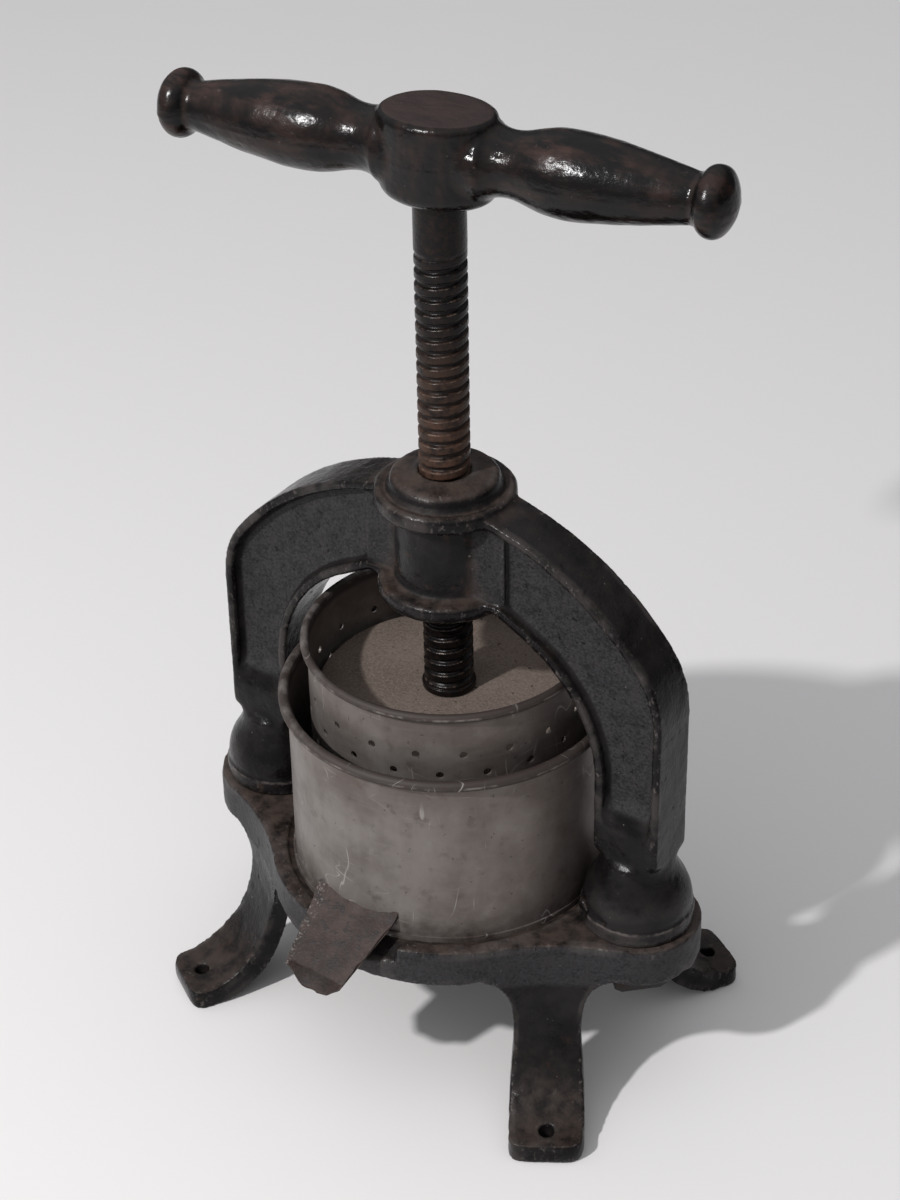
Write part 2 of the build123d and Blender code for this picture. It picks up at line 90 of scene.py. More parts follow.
# Castings: size of the even faces, passes that round the edges, share of faces kept
YOKE_SKIN = (0.70 * MM, 4, 0.40)
BASE_SKIN = (0.80 * MM, 4, 0.38)
HANDLE_SKIN = (0.65 * MM, 4, 0.45)
PLATE_SKIN = (0.85 * MM, 2, 0.50)
PLATE_BORE_GAP = 0.5 * MM
RELIEF_PASSES = 26
RELIEF_FULL = 0.45 * MM
FILLET_PASSES = 22
FILLET_PULL = 0.7
SOFT_PASSES = 14
SOFT_PULL = 0.8
FLOOR_CLEARANCE = 2.5 * MM
NECK_HEIGHT = 28.0 * MM
NECK_SPREAD = 3.0 * MM
NECK_REACH = 24.0 * MM
WEB_END = 120.5 * MM
FOOT_RING_RADIUS = 20.8 * MM
FOOT_RING_HEIGHT = 6.2 * MM
FOOT_CHIP_ANGLE = 226.0
TOE_HOLE_REACH = 99.1 * MM
TOE_THICKNESS = 12.0 * MM
COLLAR_HEIGHT = 6.2 * MM
COLLAR_DRAW = 0.13
COLLAR_FALL = 1.2 * MM
COLLAR_RADIUS = 20.4 * MM
GROOVE_DEPTH = 1.1 * MM
GROOVE_WIDTH = 0.9 * MM
PARTING_RIDGE = 0.34 * MM
PARTING_WIDTH = 0.50 * MM

# Screw thread, and the same kind of thread on the studs
SCREW_PITCH = 5.0 * MM
SCREW_THREAD_DEPTH = 1.35 * MM
SCREW_THREAD_END = 318.0 * MM
SCREW_COLLAR_HEIGHT = 3.0 * MM
SCREW_RADIUS = 9.0 * MM
SCREW_COLLAR_EDGE = 0.7 * MM
JOURNAL_RADIUS = 5.0 * MM
SHOULDER_GAP = 0.2 * MM
STUD_PITCH = 1.5 * MM
STUD_THREAD_DEPTH = 0.8 * MM
STUD_CHAMFER = 0.9 * MM
ROWS_PER_PITCH = 16
ROD_SEGMENTS = 60

# Tinned sheet of pot, strainer and spout
SHEET = 0.8 * MM
POT_BEAD = 2.0 * MM
STRAINER_BEAD = 1.6 * MM
ROLL_GAP = 0.3 * MM
SHEET_SEGMENTS = 228
DENT_FADE = 7.0 * MM

# Drain holes of the strainer
HOLE_RADIUS = 1.45 * MM
HOLE_DIMPLE = 0.14 * MM
HOLE_COLLAR = 1.75
HOLES_PER_ROW = 19
HOLE_ROWS = 9
HOLE_ROW_PITCH = 8.45 * MM
HOLE_TOP_DROP = 18.3 * MM
HOLE_FIRST_ANGLE = 7.0
CELL_WIDE = 12
CELL_TALL = 4

# Spout of the pot
SPOUT_TURN = -2.4
SPOUT_SLOPE = 31.0
SPOUT_REACH = 24.1 * MM
SPOUT_ROOT_HALF = 17.6 * MM
SPOUT_MOUTH_HALF = 12.9 * MM
SPOUT_DEPTH = 7.0 * MM
SPOUT_LIP = 1.5 * MM
SPOUT_SOLDER = 0.1 * MM
SOLDER_RISE = 0.9 * MM
SOLDER_SPREAD = 1.3 * MM
SPOUT_COLUMNS = 40
SPOUT_ROWS = 36

# Dirt, wear and some painted sheen and highlights: the place where each begins, then the place where it is
# full
WEB_PAINT_HALF = (9.0 * MM, 7.6 * MM)
BASE_RIM_DROP = (20.0 * MM, 17.0 * MM)
TABLE_DUST_RISE = (13.0 * MM, 5.0 * MM)
LEG_DUST_HEIGHT = (52.0 * MM, 9.0 * MM)
BOSS_DUST_REACH = (36.0 * MM, 18.0 * MM)
HUB_REACH = (26.0 * MM, 19.0 * MM)
HUB_TOP_REACH = (20.0 * MM, 19.0 * MM)
SCREW_RUST_TOP = (308.0 * MM, 236.0 * MM)
SCREW_RUST_FOOT = (170.0 * MM, 205.0 * MM)
SCREW_WEAR_AND_GLINT_TOP = (322.0 * MM, 300.0 * MM)
RIM_BROWN_DROP = (26.0 * MM, 5.0 * MM)
RIM_STAIN_DROP = (5.5 * MM, 3.0 * MM)
RIM_HIGHLIGHT_DROP = (1.6 * MM, 0.2 * MM)
SHEET_FOOT_STAIN = 16.0 * MM
SPOUT_FLAKE_SIDE = (-13.9 * MM, -15.4 * MM)

# Sizes read off the frame
pot_low, pot_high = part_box("pot_wall")
strainer_low, strainer_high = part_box("strainer_wall")
plate_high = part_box("press_plate")[1]
screw_low, screw_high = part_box("press_screw")
handle_low, handle_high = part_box("handle_casting")
base_low, base_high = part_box("base_casting")
yoke_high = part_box("yoke_casting")[1]
pot_radius = pot_high.x - 2 * POT_BEAD + SHEET
strainer_radius = strainer_high.x - 2 * STRAINER_BEAD + SHEET
stud_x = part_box("right_column_stud")[1].x - JOURNAL_RADIUS


def hashed(cells, seed):
    """A steady random number from -1 to 1 for each cell of a grid."""
    whole = cells.astype(np.int64)
    mixed = (whole[:, 0] * 73856093) ^ (whole[:, 1] * 19349663) ^ (whole[:, 2] * 83492791) ^ (seed * 40503)
    mixed = (mixed ^ (mixed >> 13)) * 1274126177
    return ((mixed ^ (mixed >> 16)) & 0xFFFF) / 32767.5 - 1


def noise(points, size, seed):
    """Smooth random field from -1 to 1 with lumps of about the given size."""
    at = points / size
    cell = np.floor(at)
    part = at - cell
    part = part * part * (3 - 2 * part)
    total = np.zeros(len(points))
    for corner in np.ndindex(2, 2, 2):
        weight = np.prod(np.where(corner, part, 1 - part), axis=1)
        total += weight * hashed(cell + corner, seed)
    return total


def step(value, low, high):
    """0 below low, 1 above high and a smooth rise between."""
    share = np.clip((value - low) / (high - low), 0, 1)
    return share * share * (3 - 2 * share)


def ring_points(radius, angles, heights):
    """Points on circles about Z."""
    radius, angles, heights = np.broadcast_arrays(radius, angles, heights)
    return np.stack([radius * np.cos(angles), radius * np.sin(angles), heights], axis=-1)


def grid_faces(rows, columns, round_rows, round_columns):
    """Quads of a grid of points, whose rows or columns may close on themselves."""
    faces = []
    for row in range(rows if round_rows else rows - 1):
        above = (row + 1) % rows
        for column in range(columns if round_columns else columns - 1):
            beside = (column + 1) % columns
            corners = (row * columns + column, row * columns + beside)
            faces.append(corners + (above * columns + beside, above * columns + column))
    return faces


def mesh_from(name, points, faces, sharp_angle=40.0):
    """A mesh with its faces turned outwards, smooth apart from sharp edges."""
    mesh = bpy.data.meshes.new(name)
    mesh.from_pydata([tuple(point) for point in points], [], faces)
    work = bmesh.new()
    work.from_mesh(mesh)
    bmesh.ops.remove_doubles(work, verts=work.verts, dist=0.001 * MM)
    bmesh.ops.recalc_face_normals(work, faces=work.faces)
    work.to_mesh(mesh)
    work.free()
    mesh.shade_smooth()
    mesh.set_sharp_from_angle(angle=math.radians(sharp_angle))
    return mesh


def placed(name, data):
    """A new object in the scene."""
    made = bpy.data.objects.new(name, data)
    bpy.context.scene.collection.objects.link(made)
    return made


def piece(name, mesh, node, material):
    """An object that stands for a node, rides on its body and wears a material."""
    made = placed(name, mesh)
    mesh.materials.clear()
    mesh.materials.append(material)
    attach(made, frame["nodes"][node]["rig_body"])
    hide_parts(node)
    return made


def settled(work):
    """The mesh of an object with its modifiers carried out. The object goes."""
    bpy.context.view_layer.update()
    graph = bpy.context.evaluated_depsgraph_get()
    mesh = bpy.data.meshes.new_from_object(work.evaluated_get(graph))
    bpy.data.objects.remove(work)
    return mesh


def vertex_array(mesh):
    """Places and normals of a mesh, one row for each point."""
    points = np.empty(len(mesh.vertices) * 3)
    mesh.vertices.foreach_get("co", points)
    normals = np.empty(len(mesh.vertices) * 3)
    mesh.vertex_normals.foreach_get("vector", normals)
    return points.reshape(-1, 3), normals.reshape(-1, 3)


def write_attribute(mesh, name, values):
    """Keeps a number for each point, for the materials to read."""
    layer = mesh.attributes.new(name, "FLOAT", "POINT")
    layer.data.foreach_set("value", np.asarray(values, np.float32))


def joined(mesh):
    """Ends of all edges, and how many edges meet at each point."""
    ends = np.empty(len(mesh.edges) * 2, np.int32)
    mesh.edges.foreach_get("vertices", ends)
    first, second = ends.reshape(-1, 2).T
    total = len(mesh.vertices)
    return first, second, np.bincount(first, minlength=total) + np.bincount(second, minlength=total)


def neighbour_mean(values, links):
    """Mean of the values at the neighbours of each point."""
    first, second, count = links
    mean = np.empty_like(values)
    for axis in range(values.shape[1]):
        near = np.bincount(first, values[second, axis], len(values))
        near += np.bincount(second, values[first, axis], len(values))
        mean[:, axis] = near / count
    return mean


def relief(points, normals, links):
    """How far each point stands out of its surroundings, from -1 in hollows to 1 on edges."""
    mean = points
    for _ in range(RELIEF_PASSES):
        mean = neighbour_mean(mean, links)
    return np.clip(np.sum((points - mean) * normals, axis=1) / RELIEF_FULL, -1, 1)


def eased(points, links, weight, passes):
    """Points drawn towards their neighbours where the weight, for all axes or each, is high."""
    for _ in range(passes):
        points = points + weight * (neighbour_mean(points, links) - points)
    return points


def cast_skin(node, skin, shape, soft_zone=None, form=None):
    """An even copy of a casting with rounded edges, moved along its normals by a shape function."""
    voxel, passes, keep = skin
    welded = bmesh.new()
    welded.from_mesh(frame["nodes"][node].data)
    bmesh.ops.remove_doubles(welded, verts=welded.verts, dist=0.001 * MM)
    source = bpy.data.meshes.new(node + "_skin")
    welded.to_mesh(source)
    welded.free()
    work = placed(node + "_work", source)
    even = work.modifiers.new("even", "REMESH")
    even.mode = "VOXEL"
    even.voxel_size = voxel
    rounded = work.modifiers.new("rounded", "SMOOTH")
    rounded.factor = 0.5
    rounded.iterations = passes
    mesh = settled(work)

    points, normals = vertex_array(mesh)
    links = joined(mesh)
    stands_out = relief(points, normals, links)
    points = eased(points, links, FILLET_PULL * step(-stands_out, 0.05, 0.5)[:, None], FILLET_PASSES)
    if soft_zone:
        points = eased(points, links, SOFT_PULL * soft_zone(points), SOFT_PASSES)
    if form:
        points = form(points)
    mesh.vertices.foreach_set("co", points.ravel())
    mesh.update()
    points, normals = vertex_array(mesh)
    stands_out = relief(points, normals, links)
    moved = points + normals * shape(points, normals, stands_out)[:, None]
    moved[:, 2] = np.maximum(moved[:, 2], base_low.z)
    mesh.vertices.foreach_set("co", moved.ravel())
    write_attribute(mesh, "stands_out", stands_out)
    light = placed(node + "_light", mesh)
    fewer = light.modifiers.new("fewer", "DECIMATE")
    fewer.ratio = keep
    mesh = settled(light)
    mesh.shade_smooth()
    return mesh


def sand_cast(points, coarse, fine, seed):
    """Lumps and grain that a sand mould leaves."""
    lumps = 0.6 * noise(points, 9 * MM, seed) + 0.4 * noise(points, 3.5 * MM, seed + 1)
    return coarse * lumps + fine * noise(points, 1.5 * MM, seed + 2)


def pits(points, size, depth, threshold, seed):
    """Scattered small hollows."""
    return -depth * step(noise(points, size, seed), threshold, 1.0)


def chip(points, centre, radius, depth, seed):
    """A piece knocked off an edge."""
    reach = np.linalg.norm(points - np.array(centre), axis=1) / radius
    return -depth * (1 - step(reach, 0.3, 1.0)) * (0.8 + 0.4 * noise(points, radius / 3, seed))


def yoke_soft_zone(points):
    """Where the yoke's columns flow into their round necks."""
    neck = base_high.z + NECK_HEIGHT
    off_axis = np.hypot(np.abs(points[:, 0]) - stud_x, points[:, 1])
    soft = np.exp(-(((points[:, 2] - neck) / NECK_SPREAD) ** 2)) * (off_axis < NECK_REACH)
    return soft[:, None]


def base_soft_zone(points):
    """Ends of the toes, whose corners are rounded in plan only."""
    past_hole = step(np.hypot(points[:, 0], points[:, 1]), TOE_HOLE_REACH + 3 * MM, TOE_HOLE_REACH + 5 * MM)
    soft = past_hole * (points[:, 2] < TOE_THICKNESS)
    return soft[:, None] * np.array([1, 1, 0])


def drawn_collar(points):
    """The boss's collar drawn in a little towards its top, with a groove round its foot."""
    rise = np.clip((points[:, 2] - (yoke_high.z - COLLAR_HEIGHT)) / COLLAR_HEIGHT, 0, 1)
    reach = np.hypot(points[:, 0], points[:, 1])
    outside = np.clip(reach - SCREW_RADIUS, 0, None)
    drawn = (reach - COLLAR_DRAW * rise * outside) / np.maximum(reach, MM)
    fall = COLLAR_FALL * rise * step(outside, 0, 9 * MM)
    above = points[:, 2] > yoke_high.z - COLLAR_HEIGHT - 2 * MM
    from_groove = (reach - COLLAR_RADIUS - GROOVE_WIDTH) / GROOVE_WIDTH
    fall = fall + GROOVE_DEPTH * np.exp(-(from_groove**2)) * (1 - rise) * above
    return np.stack([points[:, 0] * drawn, points[:, 1] * drawn, points[:, 2] - fall], axis=1)


def yoke_shape(points, normals, stands_out):
    """Sand-cast roughness, and chips on the right foot's ring."""
    rough = sand_cast(points, 0.17 * MM, 0.06 * MM, 11) + pits(points, 2.6 * MM, 0.30 * MM, 0.62, 21)
    broken = math.radians(FOOT_CHIP_ANGLE)
    foot_edge = (
        stud_x + FOOT_RING_RADIUS * math.cos(broken),
        FOOT_RING_RADIUS * math.sin(broken),
        base_high.z + FOOT_RING_HEIGHT,
    )
    ring_front = (stud_x - 3.0 * MM, -FOOT_RING_RADIUS, base_high.z + FOOT_RING_HEIGHT)
    chips = chip(points, foot_edge, 6.0 * MM, 2.6 * MM, 31) + chip(points, ring_front, 3.0 * MM, 0.7 * MM, 32)
    return rough + chips


def base_shape(points, normals, stands_out):
    """Sand-cast roughness, calm near the floor that the toes stand on, with nicked lower edges."""
    calm = step(points[:, 2], 0, FLOOR_CLEARANCE)
    nicks = -0.5 * MM * np.clip(stands_out, 0, 1) * step(noise(points, 5 * MM, 43), 0.25, 0.9)
    rough = sand_cast(points, 0.20 * MM, 0.06 * MM, 41) + pits(points, 3.0 * MM, 0.30 * MM, 0.60, 42)
    return calm * (rough + nicks)


def handle_shape(points, normals, stands_out):
    """Casting rubbed smooth by hands, with a parting line at mid height and a few pits."""
    axis_height = (handle_low.z + handle_high.z) / 2
    from_line = (points[:, 2] - axis_height) / PARTING_WIDTH
    upright = step(1 - np.abs(normals[:, 2]), 0.3, 0.9)
    ridge = PARTING_RIDGE * np.exp(-from_line**2) * upright * (0.55 + 0.45 * noise(points, 9 * MM, 51))
    rough = 0.20 * MM * noise(points, 10 * MM, 52) + 0.08 * MM * noise(points, 4 * MM, 53)
    return rough + ridge + pits(points, 2.4 * MM, 0.22 * MM, 0.66, 54)


def clear_bore(points):
    """The plate's bore opened to stay clear of the journal that turns in it."""
    reach = np.maximum(np.hypot(points[:, 0], points[:, 1]), 0.1 * MM)
    grown = np.maximum(reach, JOURNAL_RADIUS + PLATE_BORE_GAP) / reach
    return points * np.stack([grown, grown, np.ones_like(grown)], axis=1)


def plate_shape(points, normals, stands_out):
    """Dusty casting with shallow pits."""
    rough = 0.06 * MM * noise(points, 8 * MM, 61) + 0.04 * MM * noise(points, 2.4 * MM, 62)
    return rough + pits(points, 1.8 * MM, 0.25 * MM, 0.74, 63)


def thread_cut(phase):
    """Share of the thread's depth that is cut away at a place in its pitch."""
    from_groove = np.abs(phase - np.floor(phase) - 0.5)
    return 1 - step(from_groove, 0.10, 0.27)


def threaded_rod(name, rows, centre_x, pitch, depth, seed):
    """A closed rod from rows of (height, radius, thread share), with a right-hand thread."""
    heights, radii, shares = (np.array(column)[:, None] for column in zip(*rows))
    angles = np.linspace(0, 2 * math.pi, ROD_SEGMENTS, endpoint=False)[None, :]
    cut = thread_cut((heights - pitch * angles / (2 * math.pi)) / pitch) * shares
    points = ring_points(radii - depth * cut, angles, heights)
    flat = points.reshape(-1, 3)
    uneven = 0.05 * MM * noise(flat, 2.2 * MM, seed) + 0.05 * MM * noise(flat, 7 * MM, seed + 1)
    outward = flat * (1, 1, 0) / np.maximum(np.hypot(flat[:, 0], flat[:, 1]), MM)[:, None]
    flat = flat + outward * uneven[:, None]
    faces = grid_faces(len(rows), ROD_SEGMENTS, False, True)
    ends = np.array([(0, 0, rows[0][0]), (0, 0, rows[-1][0])])
    low_centre = len(flat)
    last_row = (len(rows) - 1) * ROD_SEGMENTS
    for column in range(ROD_SEGMENTS):
        beside = (column + 1) % ROD_SEGMENTS
        faces.append((low_centre, beside, column))
        faces.append((low_centre + 1, last_row + column, last_row + beside))
    everything = np.concatenate([flat, ends]) + (centre_x, 0, 0)
    mesh = mesh_from(name, everything, faces, 60.0)
    write_attribute(mesh, "crest", np.append(1 - cut.ravel(), (1, 1)))
    return mesh


def thread_rows(bottom, top, radius, pitch, fade, runout):
    """Closely spaced rows of a threaded stretch, whose thread fades in and runs out."""
    count = round((top - bottom) / pitch * ROWS_PER_PITCH)
    rows = []
    for height in np.linspace(bottom, top, count):
        share = step(height, bottom, bottom + fade) * (1 - step(height, top - runout, top))
        rows.append((height, radius, share))
    return rows


def screw_mesh():
    """Journal, rounded shoulder collar, threaded length and plain shank."""
    shoulder = plate_high.z + SHOULDER_GAP
    collar_top = plate_high.z + SCREW_COLLAR_HEIGHT
    collar_radius = screw_high.x
    quarter = np.linspace(0, math.pi / 2, 5)
    growing = SCREW_COLLAR_EDGE * (1 - np.cos(quarter))
    shrinking = SCREW_COLLAR_EDGE * (1 - np.sin(quarter))
    rows = [(screw_low.z, JOURNAL_RADIUS, 0), (shoulder, JOURNAL_RADIUS, 0)]
    rows += [(shoulder + rise, collar_radius - inset, 0) for rise, inset in zip(growing, shrinking)]
    rows += [(collar_top - drop, collar_radius - inset, 0) for drop, inset in zip(shrinking, growing)]
    rows += thread_rows(collar_top + 0.2 * MM, SCREW_THREAD_END, SCREW_RADIUS, SCREW_PITCH, 2 * MM, 6 * MM)
    for height in np.linspace(SCREW_THREAD_END, screw_high.z, 30)[1:]:
        rows.append((height, SCREW_RADIUS, 0))
    return threaded_rod("press_screw_threaded", rows, 0, SCREW_PITCH, SCREW_THREAD_DEPTH, 71)


def stud_mesh(side):
    """Stud with a threaded lower end and a chamfered tip."""
    low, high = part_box(side + "_column_stud")
    radius = (high.x - low.x) / 2
    washer_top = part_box(side + "_column_washer")[1].z
    middle = (low.x + high.x) / 2
    rows = [(low.z, radius - STUD_CHAMFER, 0)]
    rows += thread_rows(low.z + STUD_CHAMFER, washer_top, radius, STUD_PITCH, STUD_PITCH, STUD_PITCH)
    rows += [(washer_top + MM, radius, 0), (high.z, radius, 0)]
    return threaded_rod(side + "_stud_threaded", rows, middle, STUD_PITCH, STUD_THREAD_DEPTH, 81)


def dent(angles, heights, radius, bottom, top, seed):
    """How far hand-beaten sheet leaves a true circle, calm at the seam and the rim."""
    middle = ring_points(radius, angles, heights).reshape(-1, 3)
    uneven = 0.28 * MM * noise(middle, 38 * MM, seed) + 0.05 * MM * noise(middle, 9 * MM, seed + 1)
    calm = step(heights, bottom, bottom + DENT_FADE) * (1 - 0.7 * step(heights, top - 2 * DENT_FADE, top))
    return uneven.reshape(np.broadcast(angles, heights).shape) * calm


def rolled_edge(radius, bead, top):
    """Section of the rolled rim, from the wall's inside over the roll and back to its outside."""
    centre = radius - SHEET + bead
    height = top - bead
    end = -math.acos((SHEET + ROLL_GAP - bead) / bead)

    def arc(roll, first, last, count):
        turns = np.linspace(first, last, count)
        return [(centre + roll * math.cos(turn), height + roll * math.sin(turn)) for turn in turns]

    return arc(bead, math.pi, end, 26) + arc(bead - SHEET, end, math.pi, 18)


def wall_line(radius, bottom, top, count):
    """Straight part of a sheet wall's section."""
    return [(radius, height) for height in np.linspace(bottom, top, count)]


def revolved(section, closed, radius, bottom, top, seed):
    """Points and faces of a sheet wall from its section of (radius, height)."""
    turn = 2 * math.pi
    start = math.radians(HOLE_FIRST_ANGLE) - turn / HOLES_PER_ROW / 2
    angles = np.linspace(start, start + turn, SHEET_SEGMENTS, endpoint=False)[None, :]
    radii, heights = (np.array(column)[:, None] for column in zip(*section))
    offset = dent(angles, heights, radius, bottom, top, seed)
    points = ring_points(radii + offset, angles, heights).reshape(-1, 3)
    return points, grid_faces(len(section), SHEET_SEGMENTS, closed, True)


def spout_half_width(reach):
    """Half width of the spout at a distance from the pot's axis."""
    return SPOUT_ROOT_HALF - (reach - pot_radius) * (SPOUT_ROOT_HALF - SPOUT_MOUTH_HALF) / SPOUT_REACH


def spout_roof(reach):
    """Height of the spout's roof at a distance from the pot's axis."""
    at_pot = pot_low.z + SPOUT_DEPTH - SHEET
    return at_pot - (reach - pot_radius) * math.tan(math.radians(SPOUT_SLOPE))


def spout_turned(points):
    """Points turned about the screw's axis to where the spout stands."""
    turn = math.radians(SPOUT_TURN)
    x = points[:, 0] * math.cos(turn) - points[:, 1] * math.sin(turn)
    y = points[:, 0] * math.sin(turn) + points[:, 1] * math.cos(turn)
    return np.stack([x, y, points[:, 2]], axis=1)


def spout_reaches(across, start, end):
    """Distances from the axis along each line of the spout, from the pot's wall to the mouth."""
    wall = np.sqrt((pot_radius + start) ** 2 - (across * SPOUT_ROOT_HALF) ** 2)
    return wall[None, :] + np.linspace(0, 1, SPOUT_ROWS)[:, None] * (end - wall)[None, :]


def trough_depth(across):
    """Depth of the trough's arc below the roof, for places from -1 to 1 across it."""
    half = (SPOUT_ROOT_HALF + SPOUT_MOUTH_HALF) / 2
    radius = (half**2 + SPOUT_DEPTH**2) / (2 * SPOUT_DEPTH)
    return np.sqrt(radius**2 - (across * half) ** 2) - (radius - SPOUT_DEPTH)


def sheet_shell(name, upper, lower):
    """A closed thin shell between two grids of points."""
    rows, columns = upper.shape[:2]
    count = rows * columns
    points = np.concatenate([upper.reshape(-1, 3), lower.reshape(-1, 3)])
    faces = grid_faces(rows, columns, False, False)
    faces += [tuple(count + corner for corner in reversed(face)) for face in faces]
    border = [row * columns for row in range(rows)]
    border += [(rows - 1) * columns + column for column in range(1, columns)]
    border += [row * columns + columns - 1 for row in range(rows - 2, -1, -1)]
    border += [column for column in range(columns - 2, 0, -1)]
    for here, beside in zip(border, border[1:] + border[:1]):
        faces.append((here, beside, count + beside, count + here))
    return mesh_from(name, spout_turned(points), faces, 50.0)


def ragged(places, size, depth, seed):
    """Small uneven bites along a sheet's edge."""
    flat = np.asarray(places)
    line = np.stack([flat, 0 * flat, 0 * flat], axis=1)
    return depth * (0.5 * noise(line, size, seed) + 0.5 * noise(line, size / 3, seed + 1))


def cover_mesh():
    """Flat roof of the spout, buckled a little, with corroded edges."""
    across = np.linspace(-1, 1, SPOUT_COLUMNS)
    end = pot_radius + SPOUT_REACH - 0.25 * MM + ragged(across * SPOUT_MOUTH_HALF, 4 * MM, 0.35 * MM, 91)
    reach = spout_reaches(across, -0.4 * SHEET, end)
    side = np.abs(across)[None, :] ** 6
    bites = ragged(reach[:, 0], 4 * MM, 0.5 * MM, 92)[:, None] * side
    x = across[None, :] * (spout_half_width(reach) - 0.2 * MM + bites)
    height = spout_roof(reach)
    flat = np.stack([x, -reach, height], axis=-1).reshape(-1, 3)
    buckle = 0.22 * MM * noise(flat, 11 * MM, 93) + 0.10 * MM * noise(flat, 3 * MM, 94)
    from_wall = (reach - reach[:1]) / SOLDER_SPREAD
    solder = SOLDER_RISE * np.exp(-(from_wall**2)) * (1 + 0.5 * noise(flat, 2.5 * MM, 95).reshape(x.shape))
    solder *= 1 + 1.2 * np.exp(-(((across - 0.9) / 0.12) ** 2))[None, :]
    lift = (SHEET + 0.05 * MM + np.abs(buckle)).reshape(x.shape) + solder
    upper = np.stack([x, -reach, height + lift], axis=-1)
    lower = np.stack([x, -reach, height + 0.05 * MM + 0.4 * np.abs(buckle).reshape(x.shape)], axis=-1)
    return sheet_shell("spout_cover_sheet", upper, lower)


def trough_mesh():
    """Round channel under the cover, with a chipped lip."""
    across = np.linspace(-1, 1, SPOUT_COLUMNS)
    bites = ragged(across * SPOUT_MOUTH_HALF, 5 * MM, 0.7 * MM, 96)
    end = pot_radius + SPOUT_REACH + SPOUT_LIP - 0.3 * MM + bites
    reach = spout_reaches(across, SHEET + 2 * SPOUT_SOLDER, end)
    depth = trough_depth(across)[None, :]
    outer_x = across[None, :] * spout_half_width(reach)
    inner_x = across[None, :] * (spout_half_width(reach) - SHEET)
    outer = np.stack([outer_x, -reach, spout_roof(reach) - depth], axis=-1)
    inner_depth = depth * (SPOUT_DEPTH - SHEET) / SPOUT_DEPTH
    inner = np.stack([inner_x, -reach, spout_roof(reach) - inner_depth], axis=-1)
    return sheet_shell("spout_trough_sheet", inner, outer)


def outlet_cutter():
    """Solid of the channel's inside where it goes through the pot's wall."""
    across = np.linspace(-1, 1, 15)
    rows = []
    for reach in (pot_radius - 8 * MM, pot_radius + 3 * MM):
        half = spout_half_width(reach) - SHEET
        roof = spout_roof(reach) - 0.2 * MM
        depth = trough_depth(across) * (SPOUT_DEPTH - SHEET) / SPOUT_DEPTH
        keel = np.maximum(roof - depth, pot_low.z + MM)
        low = [(place * half, -reach, height) for place, height in zip(across, keel)]
        rows.append(low + [(half, -reach, roof + 0.1 * MM), (-half, -reach, roof + 0.1 * MM)])
    columns = len(rows[0])
    faces = grid_faces(2, columns, False, True)
    faces += [tuple(range(columns)), tuple(range(2 * columns - 1, columns - 1, -1))]
    points = spout_turned(np.array(rows[0] + rows[1]))
    return mesh_from("outlet_cutter", points, faces)


def pot_mesh():
    """Pot's wall with its rolled rim and the outlet to the spout."""
    rim_height = pot_high.z - POT_BEAD
    section = wall_line(pot_radius - SHEET, pot_low.z, rim_height, 20)[:-1]
    section += rolled_edge(pot_radius, POT_BEAD, pot_high.z)
    section += wall_line(pot_radius, rim_height, pot_low.z, 20)[1:]
    points, faces = revolved(section, True, pot_radius, pot_low.z, pot_high.z, 101)
    work = placed("pot_work", mesh_from("pot_wall_sheet", points, faces))
    cutter = placed("outlet_work", outlet_cutter())
    outlet = work.modifiers.new("outlet", "BOOLEAN")
    outlet.object = cutter
    outlet.solver = "EXACT"
    mesh = settled(work)
    bpy.data.objects.remove(cutter)
    return mesh


def cell_border():
    """Places round the edge of one drain hole's cell, as shares of its half width and half height."""
    wide = np.linspace(-1, 1, CELL_WIDE + 1)
    tall = np.linspace(-1, 1, CELL_TALL + 1)
    places = [(x, -1) for x in wide[:-1]] + [(1, y) for y in tall[:-1]]
    places += [(x, 1) for x in wide[:0:-1]] + [(-1, y) for y in tall[:0:-1]]
    return np.array(places)


def hole_cell(middle_angle, middle_height, bottom, top, seed):
    """Outer and inner sheet round one drain hole, and the hole's own wall."""
    half_angle = math.pi / HOLES_PER_ROW
    border = cell_border()
    half_size = np.array([strainer_radius * half_angle, HOLE_ROW_PITCH / 2])
    aim = np.arctan2(border[:, 1] * half_size[1], border[:, 0] * half_size[0])
    circle = np.stack([np.cos(aim), np.sin(aim)], axis=1) * HOLE_RADIUS
    rings = [border * half_size, circle * HOLE_COLLAR, circle]
    inset = [0, 0, HOLE_DIMPLE]
    levels = [(ring, strainer_radius - low) for ring, low in zip(rings, inset)]
    levels += [(ring, strainer_radius - SHEET - low) for ring, low in zip(rings[::-1], inset[::-1])]
    points = []
    for ring, radius in levels:
        angles = middle_angle + ring[:, 0] / strainer_radius
        heights = middle_height + ring[:, 1]
        offset = dent(angles, heights, strainer_radius, bottom, top, seed)
        points.append(ring_points(radius + offset, angles, heights))
    return np.concatenate(points), grid_faces(len(levels), len(border), False, True)


